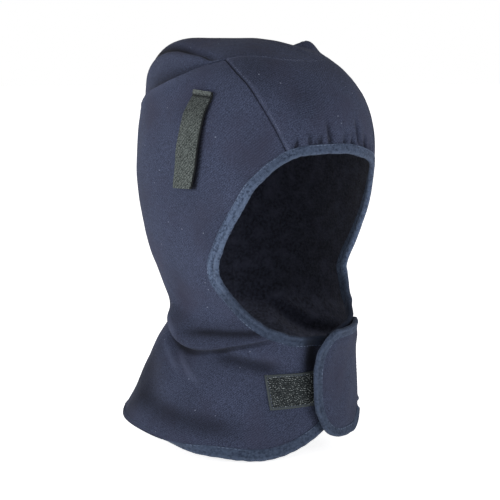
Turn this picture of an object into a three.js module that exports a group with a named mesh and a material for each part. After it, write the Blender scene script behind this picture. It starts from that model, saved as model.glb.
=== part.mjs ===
// A winter liner worn under a hard hat: a hood of fleece-backed twill with a flared neck cape.
// Units are millimetres. +Z is up, the face looks along -Y and the wearer's left is +X.
// The origin is the inside of the crown, where the hood sits on a head.
//
// A place on the hood is a turn and a level. Turn is in degrees, 0 at the front and growing towards the
// wearer's left. Level is 0 at the crown's top, 1 at the widest section, and one more for each 100 mm down.

import * as THREE from "three";

// Driving dimensions
const WALL = 2.6; // twill and fleece together
const SEAM_GAP = 0.4; // clear space between two pieces that are sewn together
const LAY_GAP = 0.5; // clear space under a piece that lies on the cloth
const CROWN_TOP = WALL; // outside of the crown above the origin
const CROWN_LEAN = 20; // how far the top of the crown leans to the back
const BROW_POWER = 2.65; // fullness of the dome over the brow
const NAPE_POWER = 2.75; // fullness of the dome over the back of the head
const SECTION_POWER = 2.2; // squareness of a level section
const LEVEL_STEP = 100; // millimetres in one level below the widest section
const LEVEL_WEIGHT = 66; // degrees of turn that are about as long as one level

const BROW_BINDING = 7;
const CHEEK_BINDING = 9.5;
const HEM_BINDING = 8;
const FLAP_BINDING = 7.5;
const BINDING_PROUD = 0.8; // how far binding tape stands out from the cloth
const FLAP_INSIDE_PROUD = 0.1; // the same on the flap's inner side, which lies on the left half
const WIDENING_STOPS = 9; // stops below the brow over which the binding widens to the cheek's
// Section of binding tape: reach from the cloth's edge, and depth from its outer to its inner side
const BINDING_SECTION = [
  { reach: 0, depth: 0 },
  { reach: 0.85, depth: 0 },
  { reach: 1, depth: 0.3 },
  { reach: 1, depth: 0.7 },
  { reach: 0.85, depth: 1 },
  { reach: 0, depth: 1 },
];

const STRAP_WIDTH = 22.5;
const STRAP_THICK = 1.6;
const PATCH_THICK = 2;

// The two halves: the side they are on, and where they end at the front, counted on their own side.
// The right half runs past the middle, under the flap.
const RIGHT = { sign: -1, closureTurn: -9, chinLevel: 2.585 };
const LEFT = { sign: 1, closureTurn: 13, chinLevel: 2.52 };

// Grid steps
const FRONT_ROWS = 8; // down the front seam, from the top corner to the brow
const BACK_ROWS = 28; // down the back seam, from the top corner to the hem
const HEM_ROWS = 17; // along half the hem, from the back seam to the front closure
const SIDE_ROWS = BACK_ROWS + HEM_ROWS;
const SIDE_COLUMNS = 14;
const CENTRE_COLUMNS = 18;
const BROW_CROWDING = 1.5; // above 1, rows of the front panel lie closer together at the brow
const TOP_SEAM_FADE = 12; // rows of the crown piece over which the top seam's curve fades
const APEX_ROW = 0.3; // where a side panel's first, short row lies under the top corner
const LEAST_STEP = 2; // least turn from the face edge's last stop to the front closure

// Level sections from the widest level down to the hem
const SECTIONS = [
  { down: 92, halfWidth: 87, frontY: -105, backY: 104, centreY: 6 },
  { down: 132, halfWidth: 85, frontY: -104, backY: 100, centreY: 5 },
  { down: 167, halfWidth: 79, frontY: -99, backY: 91, centreY: 3 },
  { down: 195, halfWidth: 71, frontY: -92, backY: 78, centreY: 2 },
  { down: 219, halfWidth: 63, frontY: -82, backY: 69, centreY: 1 },
  { down: 247, halfWidth: 70, frontY: -75, backY: 87, centreY: 7 },
  { down: 287, halfWidth: 87, frontY: -74, backY: 105, centreY: 14 },
  { down: 332, halfWidth: 106, frontY: -78, backY: 121, centreY: 22 },
];
const WIDEST_DOWN = SECTIONS[0].down;

// Seam between the front panel and a side panel, from the top corner to the brow
const FRONT_SEAM = [
  { turn: 49.5, level: 0.473 },
  { turn: 42, level: 0.628 },
  { turn: 35.7, level: 0.748 },
  { turn: 30, level: 0.865 },
  { turn: 24.4, level: 0.966 },
];

// Seam between a side panel and the crown piece, from the top corner down the back to the hem
const BACK_SEAM = [
  { turn: 49.5, level: 0.473 },
  { turn: 57.5, level: 0.49 },
  { turn: 67.8, level: 0.515 },
  { turn: 76.8, level: 0.555 },
  { turn: 88.5, level: 0.595 },
  { turn: 99, level: 0.638 },
  { turn: 110.8, level: 0.677 },
  { turn: 125, level: 0.745 },
  { turn: 137, level: 0.86 },
  { turn: 144.5, level: 1 },
  { turn: 149, level: 1.35 },
  { turn: 152, level: 1.8 },
  { turn: 154, level: 2.3 },
  { turn: 156, level: 2.8 },
  { turn: 157, level: 3.07 },
];

// Seam between the front panel and the crown piece, from the middle to a top corner
const TOP_SEAM = [
  { turn: 0, level: 0.515 },
  { turn: 14.5, level: 0.505 },
  { turn: 25.3, level: 0.478 },
  { turn: 36, level: 0.461 },
  { turn: 45, level: 0.461 },
  { turn: 49.5, level: 0.473 },
];

// Lower edge of the front panel, from the middle to a front seam
const BROW_EDGE = [
  { turn: 0, level: 0.94 },
  { turn: 13.2, level: 0.944 },
  { turn: 18.8, level: 0.951 },
  { turn: 24.4, level: 0.966 },
];

// Edge of a side panel along the face opening, from the brow to under the chin
const FACE_EDGE = [
  { turn: 24.4, level: 0.966 },
  { turn: 30.3, level: 1.005 },
  { turn: 35.7, level: 1.09 },
  { turn: 41.8, level: 1.195 },
  { turn: 53.2, level: 1.435 },
  { turn: 60.5, level: 1.598 },
  { turn: 64.5, level: 1.723 },
  { turn: 66.8, level: 1.845 },
  { turn: 64, level: 2.047 },
  { turn: 49.5, level: 2.3 },
  { turn: 33.5, level: 2.422 },
  { turn: 16.5, level: 2.507 },
  { turn: 3, level: 2.558 },
];

// Cut edge above the hem binding, from the wearer's right round the back to the left
const HEM = [
  { turn: -180, level: 3.07 },
  { turn: -157, level: 3.07 },
  { turn: -130, level: 3.08 },
  { turn: -82.5, level: 3.155 },
  { turn: -56.5, level: 3.245 },
  { turn: -31, level: 3.31 },
  { turn: -14.7, level: 3.27 },
  { turn: 2.5, level: 3.155 },
  { turn: 13, level: 3.06 },
  { turn: 35, level: 3.02 },
  { turn: 65, level: 3.03 },
  { turn: 130, level: 3.07 },
  { turn: 180, level: 3.07 },
];

// Roll of cloth round the neck: the crease under it, and how far the roll stands out
const NECK_CREASE = [
  { turn: 18, level: 2.42, height: 0 },
  { turn: 33, level: 2.47, height: 2 },
  { turn: 51, level: 2.527, height: 3.5 },
  { turn: 69.5, level: 2.57, height: 5 },
  { turn: 88, level: 2.555, height: 6 },
  { turn: 105.5, level: 2.475, height: 5 },
  { turn: 123, level: 2.36, height: 2.5 },
  { turn: 150, level: 2.29, height: 1.5 },
  { turn: 180, level: 2.27, height: 1.5 },
];
const LEFT_ROLL_SHARE = 0.75; // the left half's roll against the right half's

// Section of the roll, from above the crease to below it
const ROLL_SECTION = [
  { below: -0.34, share: 0 },
  { below: -0.22, share: 0.45 },
  { below: -0.11, share: 1 },
  { below: 0, share: 0.3 },
  { below: 0.06, share: -0.3 },
  { below: 0.13, share: -0.2 },
  { below: 0.24, share: 0 },
];

// Soft ridges (positive) and dents (negative) of the cape, each along a line on both halves
const CAPE_FOLDS = [
  { fromTurn: 124, fromLevel: 2.5, toTurn: 85, toLevel: 2.82, height: 2, halfWidth: 9 },
  { fromTurn: 91, fromLevel: 2.62, toTurn: 72, toLevel: 2.8, height: 1.5, halfWidth: 8 },
  { fromTurn: 53, fromLevel: 2.57, toTurn: 28, toLevel: 2.69, height: -2, halfWidth: 9 },
  { fromTurn: 105, fromLevel: 2.98, toTurn: 60, toLevel: 3.05, height: -2, halfWidth: 16 },
];
const FOLD_ENDS = { outside: 0.35, inside: 0.2 }; // shares of a fold's length over which its ends fade

// Puff of the crown piece beside its seam, by share of the seam's length from the top corner:
// lip is the share of the half width where the puff ends, valley the dip of the seam itself
const CROWN_PUFF = [
  { along: 0, lip: 0.98, height: 0, valley: 0 },
  { along: 0.034, lip: 0.96, height: 1.5, valley: 0.3 },
  { along: 0.077, lip: 0.85, height: 3.5, valley: 1 },
  { along: 0.116, lip: 0.75, height: 5, valley: 2 },
  { along: 0.165, lip: 0.67, height: 5.5, valley: 3.5 },
  { along: 0.22, lip: 0.54, height: 5, valley: 5.5 },
  { along: 0.265, lip: 0.49, height: 3, valley: 7.5 },
  { along: 0.33, lip: 0.47, height: 1, valley: 5 },
  { along: 0.4, lip: 0.47, height: 0, valley: 2 },
  { along: 0.47, lip: 0.47, height: 0, valley: 0 },
];
const LIP_WIDTH = 0.12; // share of the half width over which the puff falls at its lip
const CROWN_VALLEY = 0.5; // share of the crown piece's half width over which the seam's dip fades
const SIDE_VALLEY = 0.28; // share of a side panel's row over which the seam's dip fades

// Ear of loose cloth behind the top seam on the wearer's left, by angles across and over the dome
const EAR = { across: 20, over: 65, halfAcross: 7, halfOver: 7.5, height: 6.5, risesOver: 0.07 };

// Gathers of the front panel above the brow binding
const GATHERS = [
  { turn: -19.5, reach: 0.07, depth: 0.9 },
  { turn: -14.5, reach: 0.09, depth: 1.5 },
  { turn: -9.5, reach: 0.08, depth: 1.2 },
  { turn: -4.8, reach: 0.15, depth: 2 },
  { turn: 2.6, reach: 0.08, depth: 1.3 },
  { turn: 7.2, reach: 0.08, depth: 1.1 },
  { turn: 12, reach: 0.16, depth: 2 },
  { turn: 16.8, reach: 0.09, depth: 1.3 },
  { turn: 21, reach: 0.07, depth: 0.9 },
];
const GATHER_HALF_TURN = 1.9;
const GATHER_FROM_EDGE = 0.2; // share of its reach over which a gather starts at the binding
const GATHER_FADE = 0.3; // share of its reach where a gather starts to fade

// How far the left half's front stands off the neck under the flap, by level
const FRONT_LIFT = [
  { level: 1.95, lift: 0 },
  { level: 2.2, lift: 7 },
  { level: 2.42, lift: 11.5 },
  { level: 2.6, lift: 10 },
  { level: 2.8, lift: 8 },
  { level: 3, lift: 5.5 },
  { level: 3.2, lift: 3.5 },
];
const LEFT_LIFT = { fromTurn: 112, toTurn: 62 }; // where the left half starts to stand off
const FLAP_ROOT_TURN = 39; // where the flap is sewn to the left half
const ROOT_DIP = { fromTurn: 52, toTurn: 43 }; // where the left half dips under the flap
const HEM_DIP = { depth: 1.5, fromLevel: 2.85, toLevel: 3 }; // how much deeper it dips at its bound hem
const TIP_LIFT = 3.6; // how much further than its root the flap's tip stands off
const ROOT_PROUD = 1; // how far the flap stands over the left half at its root

// Rows of the closure flap from top to bottom, from its tip to its root
const FLAP_ROWS = [
  { tipTurn: 7, tipLevel: 2.43, rootTurn: 39, rootLevel: 2.47 },
  { tipTurn: 3, tipLevel: 2.47, rootTurn: 39, rootLevel: 2.53 },
  { tipTurn: 0.5, tipLevel: 2.55, rootTurn: 39, rootLevel: 2.6 },
  { tipTurn: 0, tipLevel: 2.66, rootTurn: 39, rootLevel: 2.69 },
  { tipTurn: 0.3, tipLevel: 2.78, rootTurn: 39, rootLevel: 2.79 },
  { tipTurn: 1.2, tipLevel: 2.9, rootTurn: 39, rootLevel: 2.89 },
  { tipTurn: 2.8, tipLevel: 3, rootTurn: 38.5, rootLevel: 2.97 },
  { tipTurn: 5.2, tipLevel: 3.09, rootTurn: 36, rootLevel: 3.05 },
  { tipTurn: 9, tipLevel: 3.16, rootTurn: 31.5, rootLevel: 3.13 },
  { tipTurn: 14, tipLevel: 3.2, rootTurn: 25, rootLevel: 3.19 },
];
const FLAP_COLUMNS = 8;
const FLAP_BOUND_FROM_ROW = 6; // the root side is bound from this row down

// Corners of the hook patch on the right half, and of its loop mate behind the flap
const HOOK_PATCH = [
  { fromTurn: -29.8, toTurn: 4, level: 2.718 },
  { fromTurn: -25.8, toTurn: 4, level: 2.995 },
];
const LOOP_PATCH = [
  { fromTurn: 3, toTurn: 24, level: 2.7 },
  { fromTurn: 3, toTurn: 24, level: 2.95 },
];
const PATCH_ROWS = 4;
const PATCH_COLUMNS = 8;

// Middle line of a hat strap, from its sewn end to its free end
const STRAP_LINE = [
  { turn: 63.3, level: 0.65, lift: 0 },
  { turn: 68.3, level: 0.8, lift: 0.7 },
  { turn: 72.4, level: 0.965, lift: 1.8 },
  { turn: 76.6, level: 1.238, lift: 3.2 },
];
const STRAP_ROWS = 10;
const STRAP_COLUMNS = 4;

const CLOTH_LOOK = { color: 0x3d4257, roughness: 0.92, metalness: 0 };
const BINDING_LOOK = { color: 0x54607a, roughness: 0.85, metalness: 0 };
const STRAP_LOOK = { color: 0x54595a, roughness: 0.95, metalness: 0 };
const HOOK_LOOK = { color: 0x35393c, roughness: 0.7, metalness: 0 };
const LOOP_LOOK = { color: 0x2b2e38, roughness: 1, metalness: 0 };

const DEGREE = Math.PI / 180;

function mix(from, to, share) {
  return from + (to - from) * share;
}

// Eases from 0 to 1 as a value goes from one limit to the other, in either direction.
function ease(from, to, at) {
  const share = THREE.MathUtils.clamp((at - from) / (to - from), 0, 1);
  return share * share * (3 - 2 * share);
}

// Smooth value of a table's column at a key, by cubic steps between its rows. Keys grow down the table.
function smooth(table, key, column, at, startLevel = false) {
  const last = table.length - 1;
  if (at <= table[0][key]) return table[0][column];
  if (at >= table[last][key]) return table[last][column];
  let row = 0;
  while (at > table[row + 1][key]) row += 1;
  const slope = (index) => {
    if (index === 0 && startLevel) return 0;
    const before = table[Math.max(index - 1, 0)];
    const after = table[Math.min(index + 1, last)];
    return (after[column] - before[column]) / (after[key] - before[key]);
  };
  const span = table[row + 1][key] - table[row][key];
  const share = (at - table[row][key]) / span;
  const square = share * share;
  const cube = square * share;
  return (
    (2 * cube - 3 * square + 1) * table[row][column] +
    (cube - 2 * square + share) * span * slope(row) +
    (3 * square - 2 * cube) * table[row + 1][column] +
    (cube - square) * span * slope(row + 1)
  );
}

// Even stops along a smooth line of turns and levels.
function line(table) {
  const points = table.map((row) => new THREE.Vector3(row.turn, row.level * LEVEL_WEIGHT, 0));
  const curve = new THREE.CatmullRomCurve3(points, false, "centripetal");
  return (share) => {
    const stop = curve.getPointAt(share);
    return { turn: stop.x, level: stop.y / LEVEL_WEIGHT };
  };
}

// The hood's outer surface without its folds

function superRadius(across, along, power) {
  return (Math.abs(across) ** power + Math.abs(along) ** power) ** (-1 / power);
}

function hood(turn, level) {
  const sine = Math.sin(turn * DEGREE);
  const cosine = Math.cos(turn * DEGREE);
  const down = WIDEST_DOWN + Math.max(level - 1, 0) * LEVEL_STEP;
  const size = (column) => smooth(SECTIONS, "down", column, down, true);
  const centreY = size("centreY");
  const reachY = cosine > 0 ? centreY - size("frontY") : size("backY") - centreY;
  const reach = superRadius(sine / size("halfWidth"), cosine / reachY, SECTION_POWER);
  if (level >= 1) return new THREE.Vector3(reach * sine, centreY - reach * cosine, -down);
  const tilt = level * 90 * DEGREE;
  const power = mix(BROW_POWER, NAPE_POWER, (1 - cosine) / 2);
  const height = CROWN_TOP + WIDEST_DOWN;
  const radius = superRadius(Math.sin(tilt) / reach, Math.cos(tilt) / height, power);
  const out = radius * Math.sin(tilt);
  const lean = CROWN_LEAN * Math.cos(tilt) ** 2;
  return new THREE.Vector3(out * sine, centreY - out * cosine + lean, radius * Math.cos(tilt) - WIDEST_DOWN);
}

// A place on the dome by its angle across from the middle and its angle over from the front, and back.

function fromDome(across, over) {
  const x = Math.sin(across * DEGREE);
  const front = Math.cos(across * DEGREE) * Math.cos(over * DEGREE);
  const z = Math.cos(across * DEGREE) * Math.sin(over * DEGREE);
  return { turn: Math.atan2(x, front) / DEGREE, level: Math.acos(z) / DEGREE / 90 };
}

function toDome(place) {
  const tilt = place.level * 90 * DEGREE;
  const x = Math.sin(place.turn * DEGREE) * Math.sin(tilt);
  const front = Math.cos(place.turn * DEGREE) * Math.sin(tilt);
  return { across: Math.asin(x) / DEGREE, over: Math.atan2(Math.cos(tilt), front) / DEGREE };
}

// Folds: how far the cloth stands out from the hood's surface

function neckRoll(turn, level) {
  const around = Math.abs(turn);
  const below = level - smooth(NECK_CREASE, "turn", "level", around);
  const half = mix(1, LEFT_ROLL_SHARE, (1 + Math.sin(turn * DEGREE)) / 2);
  const height = half * smooth(NECK_CREASE, "turn", "height", around);
  return height * smooth(ROLL_SECTION, "below", "share", below);
}

function capeFold(fold, turn, level) {
  const start = new THREE.Vector2(fold.fromTurn, fold.fromLevel * LEVEL_WEIGHT);
  const run = new THREE.Vector2(fold.toTurn, fold.toLevel * LEVEL_WEIGHT).sub(start);
  const offset = new THREE.Vector2(Math.abs(turn), level * LEVEL_WEIGHT).sub(start);
  const along = offset.dot(run) / run.lengthSq();
  const aside = offset.addScaledVector(run, -along).length() / fold.halfWidth;
  const { outside, inside } = FOLD_ENDS;
  const ends = ease(-outside, inside, along) * ease(1 + outside, 1 - inside, along);
  return fold.height * ends * Math.exp(-aside * aside);
}

function clothFolds(turn, level) {
  const cape = CAPE_FOLDS.reduce((sum, fold) => sum + capeFold(fold, turn, level), 0);
  return neckRoll(turn, level) + cape;
}

function gathers(turn, level) {
  const edge = smooth(BROW_EDGE, "turn", "level", Math.abs(turn));
  let rise = 0;
  for (const dent of GATHERS) {
    const aside = (turn - dent.turn) / GATHER_HALF_TURN;
    const above = (edge - level) / dent.reach;
    const length = ease(0, GATHER_FROM_EDGE, above) * ease(1, GATHER_FADE, above);
    rise -= dent.depth * Math.exp(-aside * aside) * length;
  }
  return rise;
}

function crownPuff(share, along) {
  const column = (name) => smooth(CROWN_PUFF, "along", name, along);
  const lip = column("lip");
  const puff = ease(lip - LIP_WIDTH, lip, share) * ease(1, lip, share);
  return column("height") * puff - column("valley") * ease(1 - CROWN_VALLEY, 1, share);
}

function seamValley(share, along) {
  return -smooth(CROWN_PUFF, "along", "valley", along) * ease(1 - SIDE_VALLEY, 1, share);
}

function ear(place, along) {
  if (place.level >= 1) return 0;
  const dome = toDome(place);
  const across = (dome.across - EAR.across) / EAR.halfAcross;
  const over = (dome.over - EAR.over) / EAR.halfOver;
  return EAR.height * Math.exp(-across * across - over * over) * ease(0, EAR.risesOver, along);
}

function frontLift(level) {
  return smooth(FRONT_LIFT, "level", "lift", level);
}

// The left half's front stands off the neck, and dips under the flap that is sewn to it.
function leftLift(turn, level) {
  const lift = frontLift(level) * ease(LEFT_LIFT.fromTurn, LEFT_LIFT.toTurn, turn);
  const hem = HEM_DIP.depth * ease(HEM_DIP.fromLevel, HEM_DIP.toLevel, level);
  const depth = WALL + LAY_GAP - ROOT_PROUD + hem;
  const dip = depth * ease(ROOT_DIP.fromTurn, ROOT_DIP.toTurn, turn);
  const under = ease(FLAP_ROOT_TURN, LEFT.closureTurn, turn);
  return Math.max(lift - dip, 0) * (1 - under);
}

function flapLift(turn, level) {
  return frontLift(level) + ROOT_PROUD + TIP_LIFT * ease(FLAP_ROOT_TURN, 0, turn);
}

// Grids: rows of points on the outer surface, with the way out at each of them

function gridOf(rows, columns, pointAt) {
  const grid = [];
  for (let row = 0; row <= rows; row += 1) {
    grid.push([]);
    for (let column = 0; column <= columns; column += 1) grid[row].push(pointAt(row, column));
  }
  return grid;
}

// Slope of a run of points at one of them, of second order at both ends of the run.
function slopeAt(points, index) {
  const last = points.length - 1;
  const blend = (a, pa, b, pb, c, pc) => {
    const sum = pa.clone().multiplyScalar(a);
    return sum.addScaledVector(pb, b).addScaledVector(pc, c);
  };
  if (index === 0) return blend(-3, points[0], 4, points[1], -1, points[2]);
  if (index === last) return blend(3, points[last], -4, points[last - 1], 1, points[last - 2]);
  return points[index + 1].clone().sub(points[index - 1]);
}

function normalsOf(grid, outward) {
  return grid.map((points, row) =>
    points.map((point, column) => {
      const run = slopeAt(points, column);
      const fall = slopeAt(grid.map((other) => other[column]), row);
      return run.cross(fall).normalize().multiplyScalar(outward);
    }),
  );
}

// Folds a plain grid, and gives each point its way out. Edges keep the plain grid's, so that two panels
// that are sewn together have walls that stay side by side.
function fold(plain, outward, riseAt) {
  const plainNormals = normalsOf(plain, outward);
  const raise = (point, row, column) =>
    point.clone().addScaledVector(plainNormals[row][column], riseAt(row, column));
  const points = plain.map((list, row) => list.map((point, column) => raise(point, row, column)));
  const normals = normalsOf(points, outward);
  const rows = plain.length - 1;
  const columns = plain[0].length - 1;
  for (let row = 0; row <= rows; row += 1) {
    for (let column = 0; column <= columns; column += 1) {
      const edge = row === 0 || row === rows || column === 0 || column === columns;
      if (edge) normals[row][column].copy(plainNormals[row][column]);
    }
  }
  return { points, normals };
}

// Draws a sheet's edges back by half a seam gap.
function drawBack(sheet) {
  const { points } = sheet;
  const towards = (point, inner) => point.clone().add(inner.clone().sub(point).setLength(SEAM_GAP / 2));
  const rows = points.length - 1;
  const columns = points[0].length - 1;
  for (const list of points) {
    list[0] = towards(list[0], list[1]);
    list[columns] = towards(list[columns], list[columns - 1]);
  }
  for (let column = 0; column <= columns; column += 1) {
    points[0][column] = towards(points[0][column], points[1][column]);
    points[rows][column] = towards(points[rows][column], points[rows - 1][column]);
  }
  return sheet;
}

// Solids

// Closed body from a list of corners and triangles, turned so that its faces point out.
function body(corners, triangles) {
  let volume = 0;
  for (const [a, b, c] of triangles) {
    volume += corners[a].dot(corners[b].clone().cross(corners[c]));
  }
  const faces = volume < 0 ? triangles.map(([a, b, c]) => [a, c, b]) : triangles;
  const geometry = new THREE.BufferGeometry().setFromPoints(corners);
  geometry.setIndex(faces.flat());
  geometry.computeVertexNormals();
  return geometry;
}

// Two triangles of a four-sided face, cut along its shorter diagonal.
function quad(corners, a, b, c, d) {
  const shortFirst = corners[a].distanceToSquared(corners[c]) <= corners[b].distanceToSquared(corners[d]);
  return shortFirst ? [[a, b, c], [a, c, d]] : [[a, b, d], [b, c, d]];
}

// Cloth of an even thickness under a sheet's outer points.
function clothBody({ points, normals }, thickness) {
  const rows = points.length;
  const columns = points[0].length;
  const outer = points.flat();
  const inner = outer.map((point, index) => point.clone().addScaledVector(normals.flat()[index], -thickness));
  const corners = [...outer, ...inner];
  const top = (row, column) => row * columns + column;
  const under = (row, column) => outer.length + top(row, column);
  const triangles = [];
  const add = (a, b, c, d) => triangles.push(...quad(corners, a, b, c, d));
  for (let row = 0; row < rows - 1; row += 1) {
    for (let column = 0; column < columns - 1; column += 1) {
      add(top(row, column), top(row, column + 1), top(row + 1, column + 1), top(row + 1, column));
      add(under(row, column), under(row + 1, column), under(row + 1, column + 1), under(row, column + 1));
    }
    const end = columns - 1;
    add(top(row, 0), top(row + 1, 0), under(row + 1, 0), under(row, 0));
    add(top(row, end), under(row, end), under(row + 1, end), top(row + 1, end));
  }
  for (let column = 0; column < columns - 1; column += 1) {
    const end = rows - 1;
    add(top(0, column), under(0, column), under(0, column + 1), top(0, column + 1));
    add(top(end, column), top(end, column + 1), under(end, column + 1), under(end, column));
  }
  return body(corners, triangles);
}

// Binding tape along an edge. Each stop of the edge has a point, the way out, a point further in the cloth
// and the tape's width there.
function bindingBody(stops, insideProud) {
  const sides = BINDING_SECTION.length;
  const edge = stops.map((stop) => stop.point);
  const corners = [];
  stops.forEach((stop, index) => {
    const along = slopeAt(edge, index).normalize();
    const away = stop.point.clone().sub(stop.within);
    const side = along.clone().cross(stop.normal).normalize();
    side.multiplyScalar(Math.sign(side.dot(away)));
    const out = side.clone().cross(along).normalize();
    out.multiplyScalar(Math.sign(out.dot(stop.normal)));
    for (const { reach, depth } of BINDING_SECTION) {
      const corner = stop.point.clone().addScaledVector(side, SEAM_GAP + reach * stop.width);
      corners.push(corner.addScaledVector(out, mix(BINDING_PROUD, -WALL - insideProud, depth)));
    }
  });
  const triangles = [];
  for (let stop = 0; stop < stops.length - 1; stop += 1) {
    for (let corner = 0; corner < sides; corner += 1) {
      const next = (corner + 1) % sides;
      const here = stop * sides;
      const there = here + sides;
      triangles.push(...quad(corners, here + corner, here + next, there + next, there + corner));
    }
  }
  const last = (stops.length - 1) * sides;
  for (let corner = 1; corner < sides - 1; corner += 1) {
    triangles.push([0, corner + 1, corner], [last, last + corner, last + corner + 1]);
  }
  return body(corners, triangles);
}

// Edge stops along a row or a column of a sheet

function rowStops({ points, normals }, row, within, width) {
  return points[row].map((point, column) => ({
    point, normal: normals[row][column], within: points[within][column], width,
  }));
}

function columnStops({ points, normals }, column, within, width) {
  return points.map((list, row) => ({
    point: list[column], normal: normals[row][column], within: list[within], width,
  }));
}

// Panels

const frontSeam = line(FRONT_SEAM);
const backSeam = line(BACK_SEAM);

// Stops down the front seam lie closer together towards the gathered brow.
function frontSeamStop(row) {
  return frontSeam(1 - (1 - row / FRONT_ROWS) ** BROW_CROWDING);
}

function backSeamStop(row) {
  return backSeam(row / BACK_ROWS);
}

function frontPlace(row, column) {
  const share = (2 * column) / CENTRE_COLUMNS - 1;
  const seam = frontSeamStop(row);
  const corner = frontSeamStop(0);
  const brow = frontSeamStop(FRONT_ROWS);
  const down = (seam.level - corner.level) / (brow.level - corner.level);
  const top = smooth(TOP_SEAM, "turn", "level", Math.abs(share) * corner.turn) - corner.level;
  const edge = smooth(BROW_EDGE, "turn", "level", Math.abs(share) * brow.turn) - brow.level;
  return { turn: share * seam.turn, level: seam.level + mix(top, edge, down) };
}

function frontSheet() {
  const plain = gridOf(FRONT_ROWS, CENTRE_COLUMNS, (row, column) => {
    const place = frontPlace(row, column);
    return hood(place.turn, place.level);
  });
  const riseAt = (row, column) => {
    const place = frontPlace(row, column);
    return gathers(place.turn, place.level);
  };
  return drawBack(fold(plain, -1, riseAt));
}

// The crown piece leaves the top seam in front, and lies square to its middle line further back.
function crownPlace(row, column) {
  const share = (2 * column) / CENTRE_COLUMNS - 1;
  const seam = backSeamStop(row);
  if (seam.level >= 1) {
    const turn = 180 - share * (180 - seam.turn);
    return { turn: turn > 180 ? turn - 360 : turn, level: seam.level };
  }
  const edge = toDome(seam);
  const corner = toDome(backSeamStop(0));
  const front = toDome(frontPlace(0, column));
  const fade = Math.max(1 - row / TOP_SEAM_FADE, 0) ** 2;
  const across = share * edge.across + fade * (front.across - share * corner.across);
  return fromDome(across, edge.over + fade * (front.over - corner.over));
}

function crownSheet() {
  const plain = gridOf(BACK_ROWS, CENTRE_COLUMNS, (row, column) => {
    const place = crownPlace(row, column);
    return hood(place.turn, place.level);
  });
  const riseAt = (row, column) => {
    const place = crownPlace(row, column);
    const share = Math.abs((2 * column) / CENTRE_COLUMNS - 1);
    const along = row / BACK_ROWS;
    return clothFolds(place.turn, place.level) + crownPuff(share, along) + ear(place, along);
  };
  return drawBack(fold(plain, 1, riseAt));
}

// Rows of a side panel fan round the cheek, from its inner edge (front seam, then face edge) to its outer
// edge (back seam, then hem). The first row is a short one under the top corner, the last the front closure.

function innerStop(half, row) {
  if (row <= FRONT_ROWS) return frontSeamStop(Math.max(row, APEX_ROW));
  const rows = FACE_EDGE.filter((stop) => stop.turn > half.closureTurn + LEAST_STEP);
  const edge = line([...rows, { turn: half.closureTurn, level: half.chinLevel }]);
  return edge((row - FRONT_ROWS) / (SIDE_ROWS - FRONT_ROWS));
}

function outerStop(half, row) {
  if (row <= BACK_ROWS) return backSeamStop(Math.max(row, APEX_ROW));
  const turn = mix(BACK_SEAM.at(-1).turn, half.closureTurn, (row - BACK_ROWS) / HEM_ROWS);
  return { turn, level: smooth(HEM, "turn", "level", half.sign * turn) };
}

function sidePlace(half, row, column) {
  const share = column / SIDE_COLUMNS;
  const inner = innerStop(half, row);
  const outer = outerStop(half, row);
  const turn = half.sign * mix(inner.turn, outer.turn, share);
  return { turn, level: mix(inner.level, outer.level, share) };
}

function sideSheet(half) {
  const plain = gridOf(SIDE_ROWS, SIDE_COLUMNS, (row, column) => {
    const place = sidePlace(half, row, column);
    return hood(place.turn, place.level);
  });
  const riseAt = (row, column) => {
    const place = sidePlace(half, row, column);
    const valley = seamValley(column / SIDE_COLUMNS, row / BACK_ROWS);
    const folds = clothFolds(place.turn, place.level);
    if (half === RIGHT) return folds + valley;
    const beforeRoot = ease(ROOT_DIP.toTurn, ROOT_DIP.fromTurn, place.turn);
    return folds * beforeRoot + valley + leftLift(place.turn, place.level);
  };
  return drawBack(fold(plain, -half.sign, riseAt));
}

// Bindings

function faceBinding(right, front, left) {
  const brow = rowStops(front, FRONT_ROWS, FRONT_ROWS - 1, BROW_BINDING);
  const cheek = (sheet) => {
    const stops = columnStops(sheet, 0, 1, CHEEK_BINDING).slice(FRONT_ROWS + 1);
    stops.forEach((stop, index) => {
      stop.width = mix(BROW_BINDING, CHEEK_BINDING, ease(-1, WIDENING_STOPS, index));
    });
    return stops;
  };
  return bindingBody([...cheek(right).reverse(), ...brow, ...cheek(left)], BINDING_PROUD);
}

function hemBinding(right, crown, left) {
  const half = (sheet) => columnStops(sheet, SIDE_COLUMNS, SIDE_COLUMNS - 1, HEM_BINDING).slice(BACK_ROWS);
  const back = rowStops(crown, BACK_ROWS, BACK_ROWS - 1, HEM_BINDING).slice(1, -1);
  return bindingBody([...half(right).reverse(), ...back, ...half(left)], BINDING_PROUD);
}

// Closure flap

function flapSheet() {
  const place = (row, column) => {
    const { tipTurn, tipLevel, rootTurn, rootLevel } = FLAP_ROWS[row];
    const share = column / FLAP_COLUMNS;
    return { turn: mix(tipTurn, rootTurn, share), level: mix(tipLevel, rootLevel, share) };
  };
  const rows = FLAP_ROWS.length - 1;
  const plain = gridOf(rows, FLAP_COLUMNS, (row, column) => {
    const { turn, level } = place(row, column);
    return hood(turn, level);
  });
  return fold(plain, -1, (row, column) => {
    const { turn, level } = place(row, column);
    return flapLift(turn, level);
  });
}

function flapBinding(flap) {
  const last = FLAP_ROWS.length - 1;
  const top = rowStops(flap, 0, 1, FLAP_BINDING).reverse();
  const tip = columnStops(flap, 0, 1, FLAP_BINDING).slice(1);
  const bottom = rowStops(flap, last, last - 1, FLAP_BINDING).slice(1);
  const root = columnStops(flap, FLAP_COLUMNS, FLAP_COLUMNS - 1, FLAP_BINDING);
  const bound = root.slice(FLAP_BOUND_FROM_ROW, last).reverse();
  return bindingBody([...top, ...tip, ...bottom, ...bound], FLAP_INSIDE_PROUD);
}

// Patches and straps

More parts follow.
